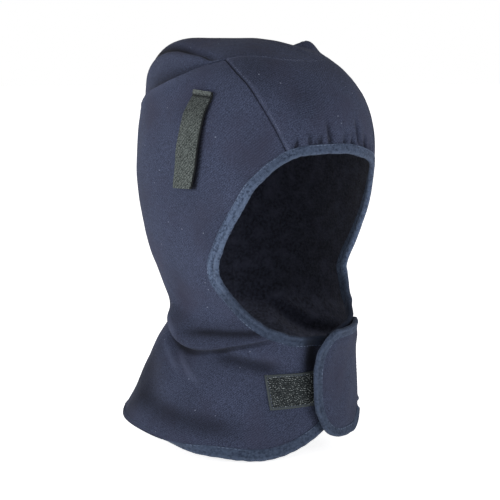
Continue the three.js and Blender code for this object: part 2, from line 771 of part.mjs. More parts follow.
function patchSheet([top, bottom], riseAt) {
  const place = (row, column) => {
    const down = row / PATCH_ROWS;
    const from = mix(top.fromTurn, bottom.fromTurn, down);
    const to = mix(top.toTurn, bottom.toTurn, down);
    return { turn: mix(from, to, column / PATCH_COLUMNS), level: mix(top.level, bottom.level, down) };
  };
  const plain = gridOf(PATCH_ROWS, PATCH_COLUMNS, (row, column) => {
    const { turn, level } = place(row, column);
    return hood(turn, level);
  });
  return fold(plain, -1, (row, column) => {
    const { turn, level } = place(row, column);
    return riseAt(turn, level);
  });
}

function hookRise(turn, level) {
  return clothFolds(turn, level) + LAY_GAP + PATCH_THICK;
}

function loopRise(turn, level) {
  return flapLift(turn, level) - WALL - LAY_GAP;
}

function strapSheet(sign) {
  const level = (row) => mix(STRAP_LINE[0].level, STRAP_LINE.at(-1).level, row / STRAP_ROWS);
  const plain = gridOf(STRAP_ROWS, STRAP_COLUMNS, (row, column) => {
    const turn = sign * smooth(STRAP_LINE, "level", "turn", level(row));
    const middle = hood(turn, level(row));
    const reach = Math.hypot(middle.x, middle.y - SECTIONS[0].centreY);
    const halfTurn = STRAP_WIDTH / 2 / reach / DEGREE;
    return hood(turn + halfTurn * ((2 * column) / STRAP_COLUMNS - 1), level(row));
  });
  const lift = (row) => smooth(STRAP_LINE, "level", "lift", level(row));
  return fold(plain, -1, (row) => LAY_GAP + STRAP_THICK + lift(row));
}

// Assembly

const liner = new THREE.Group();
liner.name = "hard_hat_winter_liner";

function piece(name, geometry, look) {
  const mesh = new THREE.Mesh(geometry, new THREE.MeshStandardMaterial(look));
  mesh.name = name;
  liner.add(mesh);
}

const front = frontSheet();
const crown = crownSheet();
const right = sideSheet(RIGHT);
const left = sideSheet(LEFT);
const flap = flapSheet();

piece("front_panel", clothBody(front, WALL), CLOTH_LOOK);
piece("crown_back_panel", clothBody(crown, WALL), CLOTH_LOOK);
piece("side_panel_right", clothBody(right, WALL), CLOTH_LOOK);
piece("side_panel_left", clothBody(left, WALL), CLOTH_LOOK);
piece("face_binding", faceBinding(right, front, left), BINDING_LOOK);
piece("hem_binding", hemBinding(right, crown, left), BINDING_LOOK);
piece("chin_flap", clothBody(flap, WALL), CLOTH_LOOK);
piece("flap_binding", flapBinding(flap), BINDING_LOOK);
piece("hook_patch", clothBody(patchSheet(HOOK_PATCH, hookRise), PATCH_THICK), HOOK_LOOK);
piece("loop_patch", clothBody(patchSheet(LOOP_PATCH, loopRise), PATCH_THICK), LOOP_LOOK);
piece("hat_strap_right", clothBody(strapSheet(RIGHT.sign), STRAP_THICK), STRAP_LOOK);
piece("hat_strap_left", clothBody(strapSheet(LEFT.sign), STRAP_THICK), STRAP_LOOK);

export default liner;
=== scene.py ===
# %% [markdown]
# # A hard hat winter liner
#
# The liner is a hood of fleece-backed twill that is worn under a hard hat. A forehead panel, a crown
# piece and two side panels are sewn together, slate-blue tape binds the face opening and the hem, and a
# flap with hook tape closes the front. This lesson dresses the plain solids of the part with cloth that
# has folds, seams, stitches and a weave. The solids themselves stay where they are.

import math
from types import SimpleNamespace as Values

import bpy
import numpy as np
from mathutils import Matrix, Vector


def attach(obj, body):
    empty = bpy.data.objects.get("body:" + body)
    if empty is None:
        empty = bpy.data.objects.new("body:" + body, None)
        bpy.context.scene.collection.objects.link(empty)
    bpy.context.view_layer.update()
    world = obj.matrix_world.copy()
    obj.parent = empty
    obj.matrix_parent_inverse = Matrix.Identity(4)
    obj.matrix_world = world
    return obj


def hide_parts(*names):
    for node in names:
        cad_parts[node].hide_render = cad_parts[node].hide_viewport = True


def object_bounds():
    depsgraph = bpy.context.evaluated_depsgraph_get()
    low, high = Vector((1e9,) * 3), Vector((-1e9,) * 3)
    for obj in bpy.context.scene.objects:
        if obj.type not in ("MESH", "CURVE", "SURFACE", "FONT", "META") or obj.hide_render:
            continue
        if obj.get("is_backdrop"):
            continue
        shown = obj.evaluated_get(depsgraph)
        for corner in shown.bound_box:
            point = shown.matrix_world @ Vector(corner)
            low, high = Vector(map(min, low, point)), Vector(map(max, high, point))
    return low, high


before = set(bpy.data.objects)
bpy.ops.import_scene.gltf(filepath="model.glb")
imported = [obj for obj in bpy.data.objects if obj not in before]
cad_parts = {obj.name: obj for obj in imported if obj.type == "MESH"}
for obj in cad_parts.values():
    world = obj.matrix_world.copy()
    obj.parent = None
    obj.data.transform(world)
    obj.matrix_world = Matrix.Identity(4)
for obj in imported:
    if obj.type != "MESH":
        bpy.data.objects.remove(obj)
cad_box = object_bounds()
print("solids:", ", ".join(sorted(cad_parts)))

# %% [markdown]
# ## Camera
#
# A camera far away with a long lens keeps the hood free of wide-angle stretch. It looks at the wearer's
# right cheek from a little above. The plain view transform keeps a white ground white.

# %% Camera at the photograph's angle
MM = 0.001
VIEW = Values(azimuth=-40, elevation=6, distance=1.4, lens=121.5)
TARGET = Vector((-2.3, 1.9, -172)) * MM


def way_to(azimuth, elevation):
    """Unit vector towards a place in the studio, by angles in degrees."""
    turn = math.radians(azimuth)
    rise = math.radians(elevation)
    return Vector((math.sin(turn) * math.cos(rise), -math.cos(turn) * math.cos(rise), math.sin(rise)))


def put_at(thing, azimuth, elevation, distance):
    """Places a camera or a lamp so that it looks at the liner."""
    towards = way_to(azimuth, elevation)
    thing.location = TARGET + towards * distance
    thing.rotation_euler = towards.to_track_quat("Z", "Y").to_euler()
    bpy.context.scene.collection.objects.link(thing)


camera = bpy.data.objects.new("camera", bpy.data.cameras.new("camera"))
camera.data.lens = VIEW.lens
put_at(camera, VIEW.azimuth, VIEW.elevation, VIEW.distance)
bpy.context.scene.camera = camera
bpy.context.scene.view_settings.view_transform = "Standard"
print("camera at", [round(c, 3) for c in camera.location])

# %% [markdown]
# ## Node trees
#
# Every finish, and the light of the studio, is a small tree of nodes. A few helpers keep the trees
# readable: one makes a node and feeds its sockets, one mixes two colours, one does sums, and one starts a
# finish with its roughness and sheen. Colours are given as they look on a screen and turned into the
# linear values that the shader wants.

# %% Helpers for node trees
SHEEN_ROUGHNESS = 0.6
BUMP_STRENGTH = 0.7


def feed(tree, socket, value):
    """Links a socket to another node's output, or sets its value."""
    if isinstance(value, bpy.types.NodeSocket):
        tree.links.new(value, socket)
    else:
        socket.default_value = value


def node(tree, kind, inputs=None, **settings):
    """New node with its settings made and its inputs fed."""
    made = tree.nodes.new(kind)
    for name, value in settings.items():
        setattr(made, name, value)
    for key, value in (inputs or {}).items():
        feed(tree, made.inputs[key], value)
    return made


def sums(tree, operation, first, second=0.0):
    """One step of arithmetic."""
    return node(tree, "ShaderNodeMath", {0: first, 1: second}, operation=operation).outputs[0]


def stretched(tree, value, low, high):
    """0 at a low value, 1 at a high one, and clamped outside them."""
    return node(tree, "ShaderNodeMapRange", {"Value": value, "From Min": low, "From Max": high}).outputs[0]


def mixed(tree, share, first, second):
    """Colour between two colours."""
    return node(tree, "ShaderNodeMix", {0: share, 6: first, 7: second}, data_type="RGBA").outputs[2]


def graded(tree, value, limits, first, second):
    """Colour that goes from one to the other as a value goes from a low limit to a high one."""
    return mixed(tree, stretched(tree, value, *limits), first, second)


def tinted(tree, value, strength, first, second):
    """Colour that takes on a second one where a value is high, at a strength."""
    return mixed(tree, sums(tree, "MULTIPLY", value, strength), first, second)


def screen(red, green, blue):
    """Linear colour from a colour as a screen shows it, 0 to 255."""
    shares = [c / 255 for c in (red, green, blue)]
    return (*[s / 12.92 if s <= 0.04045 else ((s + 0.055) / 1.055) ** 2.4 for s in shares], 1.0)


print("helpers ready")

# %% Helpers for finishes
def new_finish(name, roughness, sheen=0.0, gloss=0.08):
    """New material with the constants of its shader set, and its node tree."""
    material = bpy.data.materials.new(name)
    material.use_nodes = True
    shader = material.node_tree.nodes["Principled BSDF"]
    shader.inputs["Roughness"].default_value = roughness
    shader.inputs["Specular IOR Level"].default_value = gloss
    shader.inputs["Sheen Weight"].default_value = sheen
    shader.inputs["Sheen Roughness"].default_value = SHEEN_ROUGHNESS
    return material, material.node_tree


def noise(tree, scale, detail=2.0):
    """Noise through the space of the piece, with about scale lumps in a metre."""
    space = node(tree, "ShaderNodeTexCoord").outputs["Object"]
    lumps = {"Vector": space, "Scale": scale, "Detail": detail}
    return node(tree, "ShaderNodeTexNoise", lumps).outputs["Fac"]


def finished(material, colour, height, depth):
    """The material with its colour fed, and with a bump of a height from 0 to 1 and a depth in metres."""
    tree = material.node_tree
    shader = tree.nodes["Principled BSDF"]
    bump = node(tree, "ShaderNodeBump", {"Height": height, "Distance": depth, "Strength": BUMP_STRENGTH})
    feed(tree, shader.inputs["Base Color"], colour)
    feed(tree, shader.inputs["Normal"], bump.outputs["Normal"])
    return material


print("finish helpers ready")

# %% [markdown]
# ## Light
#
# Dark cloth needs broad, soft light, or every fold turns black. The world is pale at the height of the
# liner and dimmer overhead, so that the crown and the top of each fold stay deeper in tone, as under
# studio lamps that stand on the floor. Only the camera sees it as pure white. A large lamp on each side
# of the camera draws the folds. Lamps alone would leave hard black creases.

# %% Lamps and the white world
LAMPS = {
    "front": {"azimuth": 8, "elevation": 10, "distance": 1.8, "size": 1.1, "power": 10},
    "side": {"azimuth": -104, "elevation": 4, "distance": 1.8, "size": 1.1, "power": 21},
}
AROUND = (0.75, 0.75, 0.77, 1)
OVERHEAD = (0.48, 0.47, 0.47, 1)
DIMMING = (0.0, 0.6)  # from the height of the liner to a steep look up
WHITE = (1, 1, 1, 1)

for name, place in LAMPS.items():
    lamp = bpy.data.lights.new(name, "AREA")
    lamp.size = place["size"]
    lamp.energy = place["power"]
    put_at(bpy.data.objects.new(name, lamp), place["azimuth"], place["elevation"], place["distance"])

world = bpy.data.worlds.new("white_studio")
world.use_nodes = True
sky = world.node_tree
direction = node(sky, "ShaderNodeTexCoord").outputs["Generated"]
steepness = node(sky, "ShaderNodeSeparateXYZ", {0: direction}).outputs["Z"]
studio = graded(sky, steepness, DIMMING, AROUND, OVERHEAD)
seen = node(sky, "ShaderNodeLightPath").outputs["Is Camera Ray"]
feed(sky, sky.nodes["Background"].inputs["Color"], mixed(sky, seen, studio, WHITE))
bpy.context.scene.world = world
print("lamps:", ", ".join(LAMPS))

# %% [markdown]
# ## Twill, fleece, tape and thread
#
# Twill shows as fine diagonal ribs, so a wave texture runs across the cloth's own flat map, which keeps
# the ribs on the cloth as it bends. Yarn is never one colour: fine noise gives the heathered speckle,
# broad noise the faded blotches, and rare dots are lint. Values are painted on the mesh later: wear
# lightens seams where cloth rubs and also paints highlights on ridges and puffs, crease is painted shade
# in folds, seams and hollows, beside the straps and over the flap, along with a random mottle, and groove
# is painted shade in the stitch line of a tape, on its shaded stretches and on the webbing. Tape has a
# plain weave of two crossed waves.

# %% Diagonal or plain weave on the cloth's own map
WAVE_UNIT = 0.314  # length of one wave of Blender's band texture at scale 1
RIB_WAVER = {"Distortion": 0.6, "Detail": 1.0}


def ribs(tree, pitch, angle):
    """Parallel ribs on the flat map, a pitch in metres apart and turned by an angle in degrees."""
    flat = node(tree, "ShaderNodeUVMap", uv_map="cloth").outputs["UV"]
    turn = (0, 0, math.radians(angle))
    rotated = node(tree, "ShaderNodeMapping", {"Vector": flat, "Rotation": turn}).outputs[0]
    wave = {"Vector": rotated, "Scale": WAVE_UNIT / pitch, **RIB_WAVER}
    return node(tree, "ShaderNodeTexWave", wave).outputs["Fac"]


def plain_weave(tree, pitch, angle):
    """Two sets of ribs that cross each other squarely."""
    return sums(tree, "MULTIPLY", ribs(tree, pitch, angle), ribs(tree, pitch, angle + 90))


def attribute(tree, name):
    """Value painted on the mesh."""
    return node(tree, "ShaderNodeAttribute", attribute_name=name).outputs["Fac"]


print("weave helpers ready")

# %% Navy twill of the outside
# crease is the colour of painted shade, and worn the colour of rubbed seams and painted highlights
NAVY = Values(
    dark=screen(41, 46, 62), light=screen(66, 73, 96), faded=screen(51, 52, 69),
    rib=screen(36, 40, 55), crease=screen(12, 13, 19), worn=screen(88, 95, 118),
    lint=screen(104, 110, 127),
)
TWILL_RIBS = Values(pitch=0.0016, angle=52, tone=0.3, height=0.5)
TWILL_SPECKLE = Values(scale=1150, limits=(0.36, 0.64))
TWILL_BLOTCH = Values(scale=26, detail=3.0, limits=(0.46, 0.8))
TWILL_MARKS = Values(crease=0.9, wear=0.6)
LINT = Values(scale=130.0, chosen=(0.55, 0.6), size=(0.085, 0.05))
WEAVE_RELIEF = 0.0005


def lint_dots(tree):
    """Rare small dots: 1 on a speck of lint and 0 beside it."""
    space = node(tree, "ShaderNodeTexCoord").outputs["Object"]
    dots = node(tree, "ShaderNodeTexVoronoi", {"Vector": space, "Scale": LINT.scale}).outputs
    chosen = stretched(tree, dots["Color"], *LINT.chosen)
    return sums(tree, "MULTIPLY", stretched(tree, dots["Distance"], *LINT.size), chosen)


def twill_finish():
    """Heathered navy twill with faded blotches, lint, worn seams, painted shade and painted highlights."""
    material, tree = new_finish("navy_twill", 0.94, 0.02)
    weave = ribs(tree, TWILL_RIBS.pitch, TWILL_RIBS.angle)
    speckle = noise(tree, TWILL_SPECKLE.scale)
    blotch = noise(tree, TWILL_BLOTCH.scale, TWILL_BLOTCH.detail)
    yarn = graded(tree, speckle, TWILL_SPECKLE.limits, NAVY.dark, NAVY.light)
    faded = graded(tree, blotch, TWILL_BLOTCH.limits, yarn, NAVY.faded)
    ribbed = tinted(tree, weave, TWILL_RIBS.tone, faded, NAVY.rib)
    # Painted shade from the crease value, then rubbed seams and painted highlights from the wear value
    shaded = tinted(tree, attribute(tree, "crease"), TWILL_MARKS.crease, ribbed, NAVY.crease)
    worn = tinted(tree, attribute(tree, "wear"), TWILL_MARKS.wear, shaded, NAVY.worn)
    colour = mixed(tree, lint_dots(tree), worn, NAVY.lint)
    height = sums(tree, "ADD", sums(tree, "MULTIPLY", weave, TWILL_RIBS.height), speckle)
    return finished(material, colour, height, WEAVE_RELIEF)


TWILL = twill_finish()
print("made", TWILL.name)

# %% Dark fleece of the inside
DARK_PILE = Values(dark=screen(25, 27, 37), light=screen(48, 51, 65), tuft=screen(54, 57, 72))
PILE = Values(scale=420, detail=4.0, limits=(0.3, 0.7))
TUFT = Values(scale=90, limits=(0.45, 0.8), height=0.6)
FLEECE_RELIEF = 0.0014


def fleece_finish():
    """Short dark pile."""
    material, tree = new_finish("dark_fleece", 1.0, 0.06)
    pile = noise(tree, PILE.scale, PILE.detail)
    tuft = noise(tree, TUFT.scale)
    colour = graded(tree, pile, PILE.limits, DARK_PILE.dark, DARK_PILE.light)
    tufted = graded(tree, tuft, TUFT.limits, colour, DARK_PILE.tuft)
    height = sums(tree, "ADD", pile, sums(tree, "MULTIPLY", tuft, TUFT.height))
    return finished(material, tufted, height, FLEECE_RELIEF)


FLEECE = fleece_finish()
print("made", FLEECE.name)

# %% Slate-blue binding tape
# groove is the colour of painted shade in the stitch line and on shaded stretches of tape
SLATE = Values(
    dark=screen(37, 47, 66), light=screen(82, 96, 120), faded=screen(79, 93, 117),
    groove=screen(32, 39, 54), worn=screen(98, 112, 134),
)
TAPE_WEAVE = Values(pitch=0.0011, angle=8)
TAPE_SPECKLE = Values(scale=560, limits=(0.36, 0.64), height=0.7)
TAPE_CRUMPLE = Values(scale=260, detail=3.0, limits=(0.42, 0.7), height=3.0)
TAPE_WEAR = 0.55


def tape_finish():
    """Plain-woven tape, with painted shade in its stitch line and on shaded stretches, and paler on its worn
    rim.
    """
    material, tree = new_finish("slate_tape", 0.86, 0.03)
    weave = plain_weave(tree, TAPE_WEAVE.pitch, TAPE_WEAVE.angle)
    speckle = noise(tree, TAPE_SPECKLE.scale)
    crumple = noise(tree, TAPE_CRUMPLE.scale, TAPE_CRUMPLE.detail)
    yarn = graded(tree, speckle, TAPE_SPECKLE.limits, SLATE.dark, SLATE.light)
    faded = graded(tree, crumple, TAPE_CRUMPLE.limits, yarn, SLATE.faded)
    sunk = mixed(tree, attribute(tree, "groove"), faded, SLATE.groove)
    worn = tinted(tree, attribute(tree, "wear"), TAPE_WEAR, sunk, SLATE.worn)
    fine = sums(tree, "ADD", weave, sums(tree, "MULTIPLY", speckle, TAPE_SPECKLE.height))
    height = sums(tree, "ADD", fine, sums(tree, "MULTIPLY", crumple, TAPE_CRUMPLE.height))
    return finished(material, worn, height, WEAVE_RELIEF)


TAPE = tape_finish()
print("made", TAPE.name)

# %% Grey-green strap webbing
# groove is the colour of painted shade on the webbing
GREY = Values(
    dark=screen(34, 38, 38), light=screen(98, 105, 103), rib=screen(44, 48, 49),
    worn=screen(112, 118, 116), groove=screen(19, 22, 24),
)
WEBBING_RIBS = Values(pitch=0.0021, angle=38, tone=0.45)
WEBBING_SPECKLE = Values(scale=1000, detail=1.0, limits=(0.34, 0.66))
WEBBING_WEAR = 0.5


def webbing_finish():
    """Coarse heathered tape of light and dark yarns, paler where its end is turned over, with painted shade.
    """
    material, tree = new_finish("grey_webbing", 0.95, 0.03)
    twill = ribs(tree, WEBBING_RIBS.pitch, WEBBING_RIBS.angle)
    speckle = noise(tree, WEBBING_SPECKLE.scale, WEBBING_SPECKLE.detail)
    yarn = graded(tree, speckle, WEBBING_SPECKLE.limits, GREY.dark, GREY.light)
    ribbed = tinted(tree, twill, WEBBING_RIBS.tone, yarn, GREY.rib)
    worn = tinted(tree, attribute(tree, "wear"), WEBBING_WEAR, ribbed, GREY.worn)
    sunk = mixed(tree, attribute(tree, "groove"), worn, GREY.groove)
    return finished(material, sunk, sums(tree, "ADD", twill, speckle), WEAVE_RELIEF)


WEBBING = webbing_finish()
print("made", WEBBING.name)

# %% Hook tape, its loop mate and the threads
PATCH_WEAVE = Values(pitch=0.0013, speckle=900, limits=(0.35, 0.65), relief=0.0004)
STRAND = Values(limits=(0.4, 0.62), relief=0.0002)


def patch_finish(name, dark, light, edge):
    """Woven ground of a hook or loop tape, with a plain edge strip."""
    material, tree = new_finish(name, 0.8)
    weave = plain_weave(tree, PATCH_WEAVE.pitch, 0)
    speckle = noise(tree, PATCH_WEAVE.speckle)
    ground = graded(tree, speckle, PATCH_WEAVE.limits, dark, light)
    edged = mixed(tree, attribute(tree, "wear"), ground, edge)
    return finished(material, edged, sums(tree, "ADD", weave, speckle), PATCH_WEAVE.relief)


def fibre_finish(name, dark, light, roughness, scale=600):
    """Threads and hooks: two tones of one fibre, changing along it."""
    material, tree = new_finish(name, roughness, 0.02)
    strand = noise(tree, scale)
    colour = graded(tree, strand, STRAND.limits, dark, light)
    return finished(material, colour, strand, STRAND.relief)


HOOK_GROUND = patch_finish("hook_ground", screen(25, 28, 30), screen(50, 55, 57), screen(64, 70, 72))
LOOP_GROUND = patch_finish("loop_ground", screen(24, 26, 32), screen(38, 41, 48), screen(46, 49, 56))
# The light tone of the hook fibre is a painted glint, beside the real gloss of its low roughness
HOOKS = fibre_finish("hook_fibre", screen(40, 46, 47), screen(150, 158, 158), 0.4, 450)
LOOPS = fibre_finish("loop_fibre", screen(30, 32, 40), screen(58, 61, 70), 0.9)
TAPE_THREAD = fibre_finish("tape_thread", screen(46, 56, 76), screen(96, 108, 130), 0.7, 70)
SEAM_THREAD = fibre_finish("seam_thread", screen(46, 51, 68), screen(92, 100, 120), 0.8)
STRAP_THREAD = fibre_finish("strap_thread", screen(34, 37, 40), screen(60, 64, 66), 0.8)
print("made", len(bpy.data.materials), "finishes in all")

# %% [markdown]
# ## The floor
#
# A wide pale plane under the hem catches the liner's soft shadow, and it glows a little, so that it stays
# as white as the ground behind it. It is part of the studio and not of the liner, so it is marked as
# stage.

# %% Floor
FLOOR_SIZE = 60.0
FLOOR_GAP = 0.001
PAPER = Values(dark=(0.93, 0.93, 0.93, 1), light=(0.96, 0.96, 0.96, 1), scale=3.0, glow=0.8)

floor_mesh = bpy.data.meshes.new("floor")
reach = FLOOR_SIZE / 2
level_z = cad_box[0][2] - FLOOR_GAP
corners = [(x * reach, y * reach, level_z) for x, y in ((-1, -1), (1, -1), (1, 1), (-1, 1))]
floor_mesh.from_pydata(corners, [], [(0, 1, 2, 3)])
floor = bpy.data.objects.new("floor", floor_mesh)
bpy.context.scene.collection.objects.link(floor)
pale, pale_tree = new_finish("pale_paper", 0.95)
pale_shader = pale_tree.nodes["Principled BSDF"]
paper = mixed(pale_tree, noise(pale_tree, PAPER.scale), PAPER.dark, PAPER.light)
feed(pale_tree, pale_shader.inputs["Base Color"], paper)
pale_shader.inputs["Emission Color"].default_value = WHITE
pale_shader.inputs["Emission Strength"].default_value = PAPER.glow
floor_mesh.materials.append(pale)
floor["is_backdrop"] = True
print("floor at", round(level_z, 4), "m")

# %% [markdown]
# ## The hood's plain surface
#
# All the cloth lies on one smooth surface, the same that the solids were made from. A place on it is a
# turn round the head, 0 at the front and growing towards the wearer's left, and a level, 0 at the crown's
# top, 1 at the widest section and one more for each 100 mm down. Working in turns and levels lets two
# panels share a seam exactly, which would be hard with meshes moulded one by one. Sizes are in mm.

# %% Short tables and smooth curves through them
def table(names, *rows):
    """Short table as one array for each named column."""
    return dict(zip(names.split(), np.array(rows, float).T))


def rows_of(columns):
    """The rows of a table, each with its values by name."""
    return [dict(zip(columns, values)) for values in zip(*columns.values())]


def smooth(rows, column, at, level_start=False):
    """Smooth value of a column by the first column, in cubic steps between rows."""
    keys = next(iter(rows.values()))
    values = rows[column]
    last = len(keys) - 1
    order = np.arange(last + 1)
    before = np.maximum(order - 1, 0)
    after = np.minimum(order + 1, last)
    slopes = (values[after] - values[before]) / (keys[after] - keys[before])
    if level_start:
        slopes[0] = 0
    at = np.clip(at, keys[0], keys[-1])
    row = np.clip(np.searchsorted(keys, at) - 1, 0, last - 1)
    span = keys[row + 1] - keys[row]
    share = (at - keys[row]) / span
    square = share**2
    cube = share**3
    start = (2 * cube - 3 * square + 1) * values[row] + (cube - 2 * square + share) * span * slopes[row]
    end = (3 * square - 2 * cube) * values[row + 1] + (cube - square) * span * slopes[row + 1]
    return start + end


print("table helpers ready")

# %% Values that change or fade
def ease(start, end, at):
    """Eases from 0 to 1 as a value goes from one limit to the other, in either direction."""
    share = np.clip((at - start) / (end - start), 0, 1)
    return share * share * (3 - 2 * share)


def between(starts, ends, at):
    """Eases up over one pair of limits and down again over another."""
    return ease(*starts, at) * ease(*ends, at)


def blend(first, second, share):
    """Value between two values."""
    return first + (second - first) * share


def bell(distance, width):
    """1 on a line, fading to both sides over a width."""
    return np.exp(-((distance / width) ** 2))


def spot(place, **at):
    """1 in the middle of a place, fading over its half sizes for the named values."""
    return np.exp(-sum(((value - place[key]) / place["half_" + key]) ** 2 for key, value in at.items()))


print("fading helpers ready")

# %% The surface without its folds
WALL = 2.6  # thickness of the cloth
CROWN_TOP = WALL
CROWN_LEAN = 20  # how far back the crown's top lies
BROW_POWER = 2.65  # roundness over the brow, where 2 is an ellipse and more is squarer
NAPE_POWER = 2.75
SECTION_POWER = 2.2
LEVEL_STEP = 100
TURN_PROBE = 0.05  # small steps that find the way out
LEVEL_PROBE = 0.0005
SECTIONS = table(
    "down half_width front_y back_y centre_y",
    (92, 87, -105, 104, 6),
    (132, 85, -104, 100, 5),
    (167, 79, -99, 91, 3),
    (195, 71, -92, 78, 2),
    (219, 63, -82, 69, 1),
    (247, 70, -75, 87, 7),
    (287, 87, -74, 105, 14),
    (332, 106, -78, 121, 22),
)
WIDEST_DOWN = SECTIONS["down"][0]
# Places where worn cloth stands out or hangs lower than the plain surface, in mm
LOOSE = table(
    "turn level half_turn half_level out down",
    (44, 0.9, 26, 0.22, 2.2, 0), (20, 0.97, 11, 0.12, 0, 4),
)


def super_radius(across, along, power):
    """Radius of a rounded square, where power 2 gives an ellipse."""
    return (np.abs(across) ** power + np.abs(along) ** power) ** (-1 / power)


def hood(turn, level):
    """Points of the hood's outer surface, in mm."""
    turn, level = np.broadcast_arrays(np.asarray(turn, float), np.asarray(level, float))
    sine = np.sin(np.radians(turn))
    cosine = np.cos(np.radians(turn))
    down = WIDEST_DOWN + np.maximum(level - 1, 0) * LEVEL_STEP
    half_width, front_y, back_y, centre_y = (
        smooth(SECTIONS, column, down, True) for column in list(SECTIONS)[1:]
    )
    reach_y = np.where(cosine > 0, centre_y - front_y, back_y - centre_y)
    reach = super_radius(sine / half_width, cosine / reach_y, SECTION_POWER)
    tilt = np.radians(np.minimum(level, 1) * 90)
    power = blend(BROW_POWER, NAPE_POWER, (1 - cosine) / 2)
    radius = super_radius(np.sin(tilt) / reach, np.cos(tilt) / (CROWN_TOP + WIDEST_DOWN), power)
    out = np.where(level < 1, radius * np.sin(tilt), reach)
    up = np.where(level < 1, radius * np.cos(tilt) - WIDEST_DOWN, -down)
    lean = CROWN_LEAN * np.cos(tilt) ** 2
    for place in rows_of(LOOSE):
        near = spot(place, turn=turn, level=level)
        out = out + place["out"] * near
        up = up - place["down"] * near
    return np.stack([out * sine, centre_y - out * cosine + lean, up], -1)


def unit(vectors):
    """Vectors of length 1."""
    return vectors / np.linalg.norm(vectors, axis=-1, keepdims=True)


def surface_out(turn, level):
    """Way out of the plain surface at places away from the crown's top."""
    across = hood(turn + TURN_PROBE, level) - hood(turn - TURN_PROBE, level)
    down = hood(turn, level + LEVEL_PROBE) - hood(turn, level - LEVEL_PROBE)
    return unit(np.cross(down, across))


print("crown top at", hood(0, 0).round(2), "mm")

# %% Seams and edges as lines of turns and levels
LEVEL_WEIGHT = 66  # degrees of turn that count as much as one level where lengths are compared
FRONT_SEAM = table(
    "turn level",
    (49.5, 0.473), (44.3, 0.556), (38.2, 0.648), (33.6, 0.748), (28.1, 0.875), (24.4, 0.966),
)
BACK_SEAM = table(
    "turn level",
    (49.5, 0.473), (57.5, 0.49), (67.8, 0.515), (76.8, 0.55), (88.5, 0.585), (99, 0.62), (110.8, 0.66),
    (125, 0.732), (137, 0.85), (144.5, 1), (149, 1.35), (152, 1.8), (154, 2.3), (156, 2.8), (157, 3.07),
)
TOP_SEAM = table(
    "turn level",
    (0, 0.515), (14.5, 0.505), (25.3, 0.478), (36, 0.461), (45, 0.461), (49.5, 0.473),
)
BROW_EDGE = table("turn level", (0, 0.94), (13.2, 0.944), (18.8, 0.951), (24.4, 0.966))
FACE_EDGE = table(
    "turn level",
    (24.4, 0.966), (30.5, 1.018), (36.2, 1.11), (41.8, 1.215), (47.5, 1.37), (53.7, 1.53), (60, 1.703),
    (64.8, 1.845), (65, 1.975), (59, 2.103), (52, 2.212), (41.5, 2.32), (28.7, 2.415), (16.5, 2.48),
    (3, 2.502),
)
HEM = table(
    "turn level",
    (-180, 3.07), (-157, 3.07), (-130, 3.08), (-82.5, 3.155), (-56.5, 3.245), (-31, 3.31), (-14.7, 3.27),
    (2.5, 3.155), (13, 3.06), (35, 3.02), (65, 3.03), (130, 3.07), (180, 3.07),
)
ROUTE_STEPS = 600


def run_of(points):
    """Length along a run of points, from its start."""
    return np.concatenate([[0], np.cumsum(np.linalg.norm(np.diff(points, axis=0), axis=1))])


def route(turns, levels):
    """Smooth line through places, as a function from a share of its length to a turn and a level."""
    knots = np.column_stack([turns, np.multiply(levels, LEVEL_WEIGHT)])
    at = np.concatenate([[0], np.cumsum(np.sqrt(np.linalg.norm(np.diff(knots, axis=0), axis=1)))])
    rows = {"at": at, "turn": knots[:, 0], "level": knots[:, 1]}
    fine = np.linspace(0, at[-1], ROUTE_STEPS)
    path = np.column_stack([smooth(rows, column, fine) for column in ("turn", "level")])
    run = run_of(path)

    def stop(share):
        along = np.asarray(share) * run[-1]
        return np.interp(along, run, path[:, 0]), np.interp(along, run, path[:, 1]) / LEVEL_WEIGHT

    return stop


front_seam = route(FRONT_SEAM["turn"], FRONT_SEAM["level"])
back_seam = route(BACK_SEAM["turn"], BACK_SEAM["level"])
print("front seam ends at", np.round(front_seam(1.0), 3), "back seam at", np.round(back_seam(1.0), 3))

# %% [markdown]
# ## Folds
#
# Fleece-backed cloth does not crease like paper. It rolls over at the neck, puffs beside the crown's
# seams and lies in broad soft ridges on the cape. Cloth simulation could find such folds, but not these
# ones, so each fold is a rule with its own place, height and width, and the cloth is moved out along its
# surface by the sum of them. The neck roll also slides down a little, so that it hangs over its crease.

# %% The roll round the neck
NECK_CREASE = table(
    "turn level height",
    (18, 2.415, 0), (33, 2.46, 2), (51, 2.508, 3.5), (69.5, 2.545, 5), (88, 2.527, 6.2), (105.5, 2.442, 6),
    (114, 2.385, 4.6), (123, 2.325, 2.6), (140, 2.27, 1.4), (180, 2.24, 1.2),
)
LEFT_ROLL_SHARE = 0.75
ROLL_HEIGHT = 6
# Section of the roll: how far a place is below the crease, its share of the height, and its slide down
ROLL = table(
    "below share slide",
    (-0.36, 0, 0), (-0.26, 0.35, 0.3), (-0.16, 0.85, 1.2), (-0.09, 1.15, 2.6), (-0.055, 1.15, 3.9),
    (-0.035, 0.8, 4.3), (-0.02, 0.1, 3.2), (-0.005, -0.5, 1.2), (0.02, -0.95, 0), (0.06, -0.8, 0),
    (0.12, -0.42, 0), (0.2, -0.14, 0), (0.3, 0, 0),
)
# Shade under the roll, by levels below the crease. It needs a roll of some height, and towards the back
# it is wider and darker
CREASE_SHADE = Values(
    starts=(-0.034, -0.02), ends=(0.075, 0.036), heights=(0.3, 2.4),
    to_back=(62, 102), wide=(0.5, 1.35), tone=(0.62, 1),
)
FLANK_SHADE = Values(starts=(-0.27, -0.17), ends=(-0.02, -0.045), tone=0.3)


def below_crease(turn, level):
    """How far a place is below the neck crease, in levels."""
    return level - smooth(NECK_CREASE, "level", np.abs(turn))


def crease_height(turn):
    """Height of the roll over the crease on the right half, in mm."""
    return smooth(NECK_CREASE, "height", np.abs(turn))


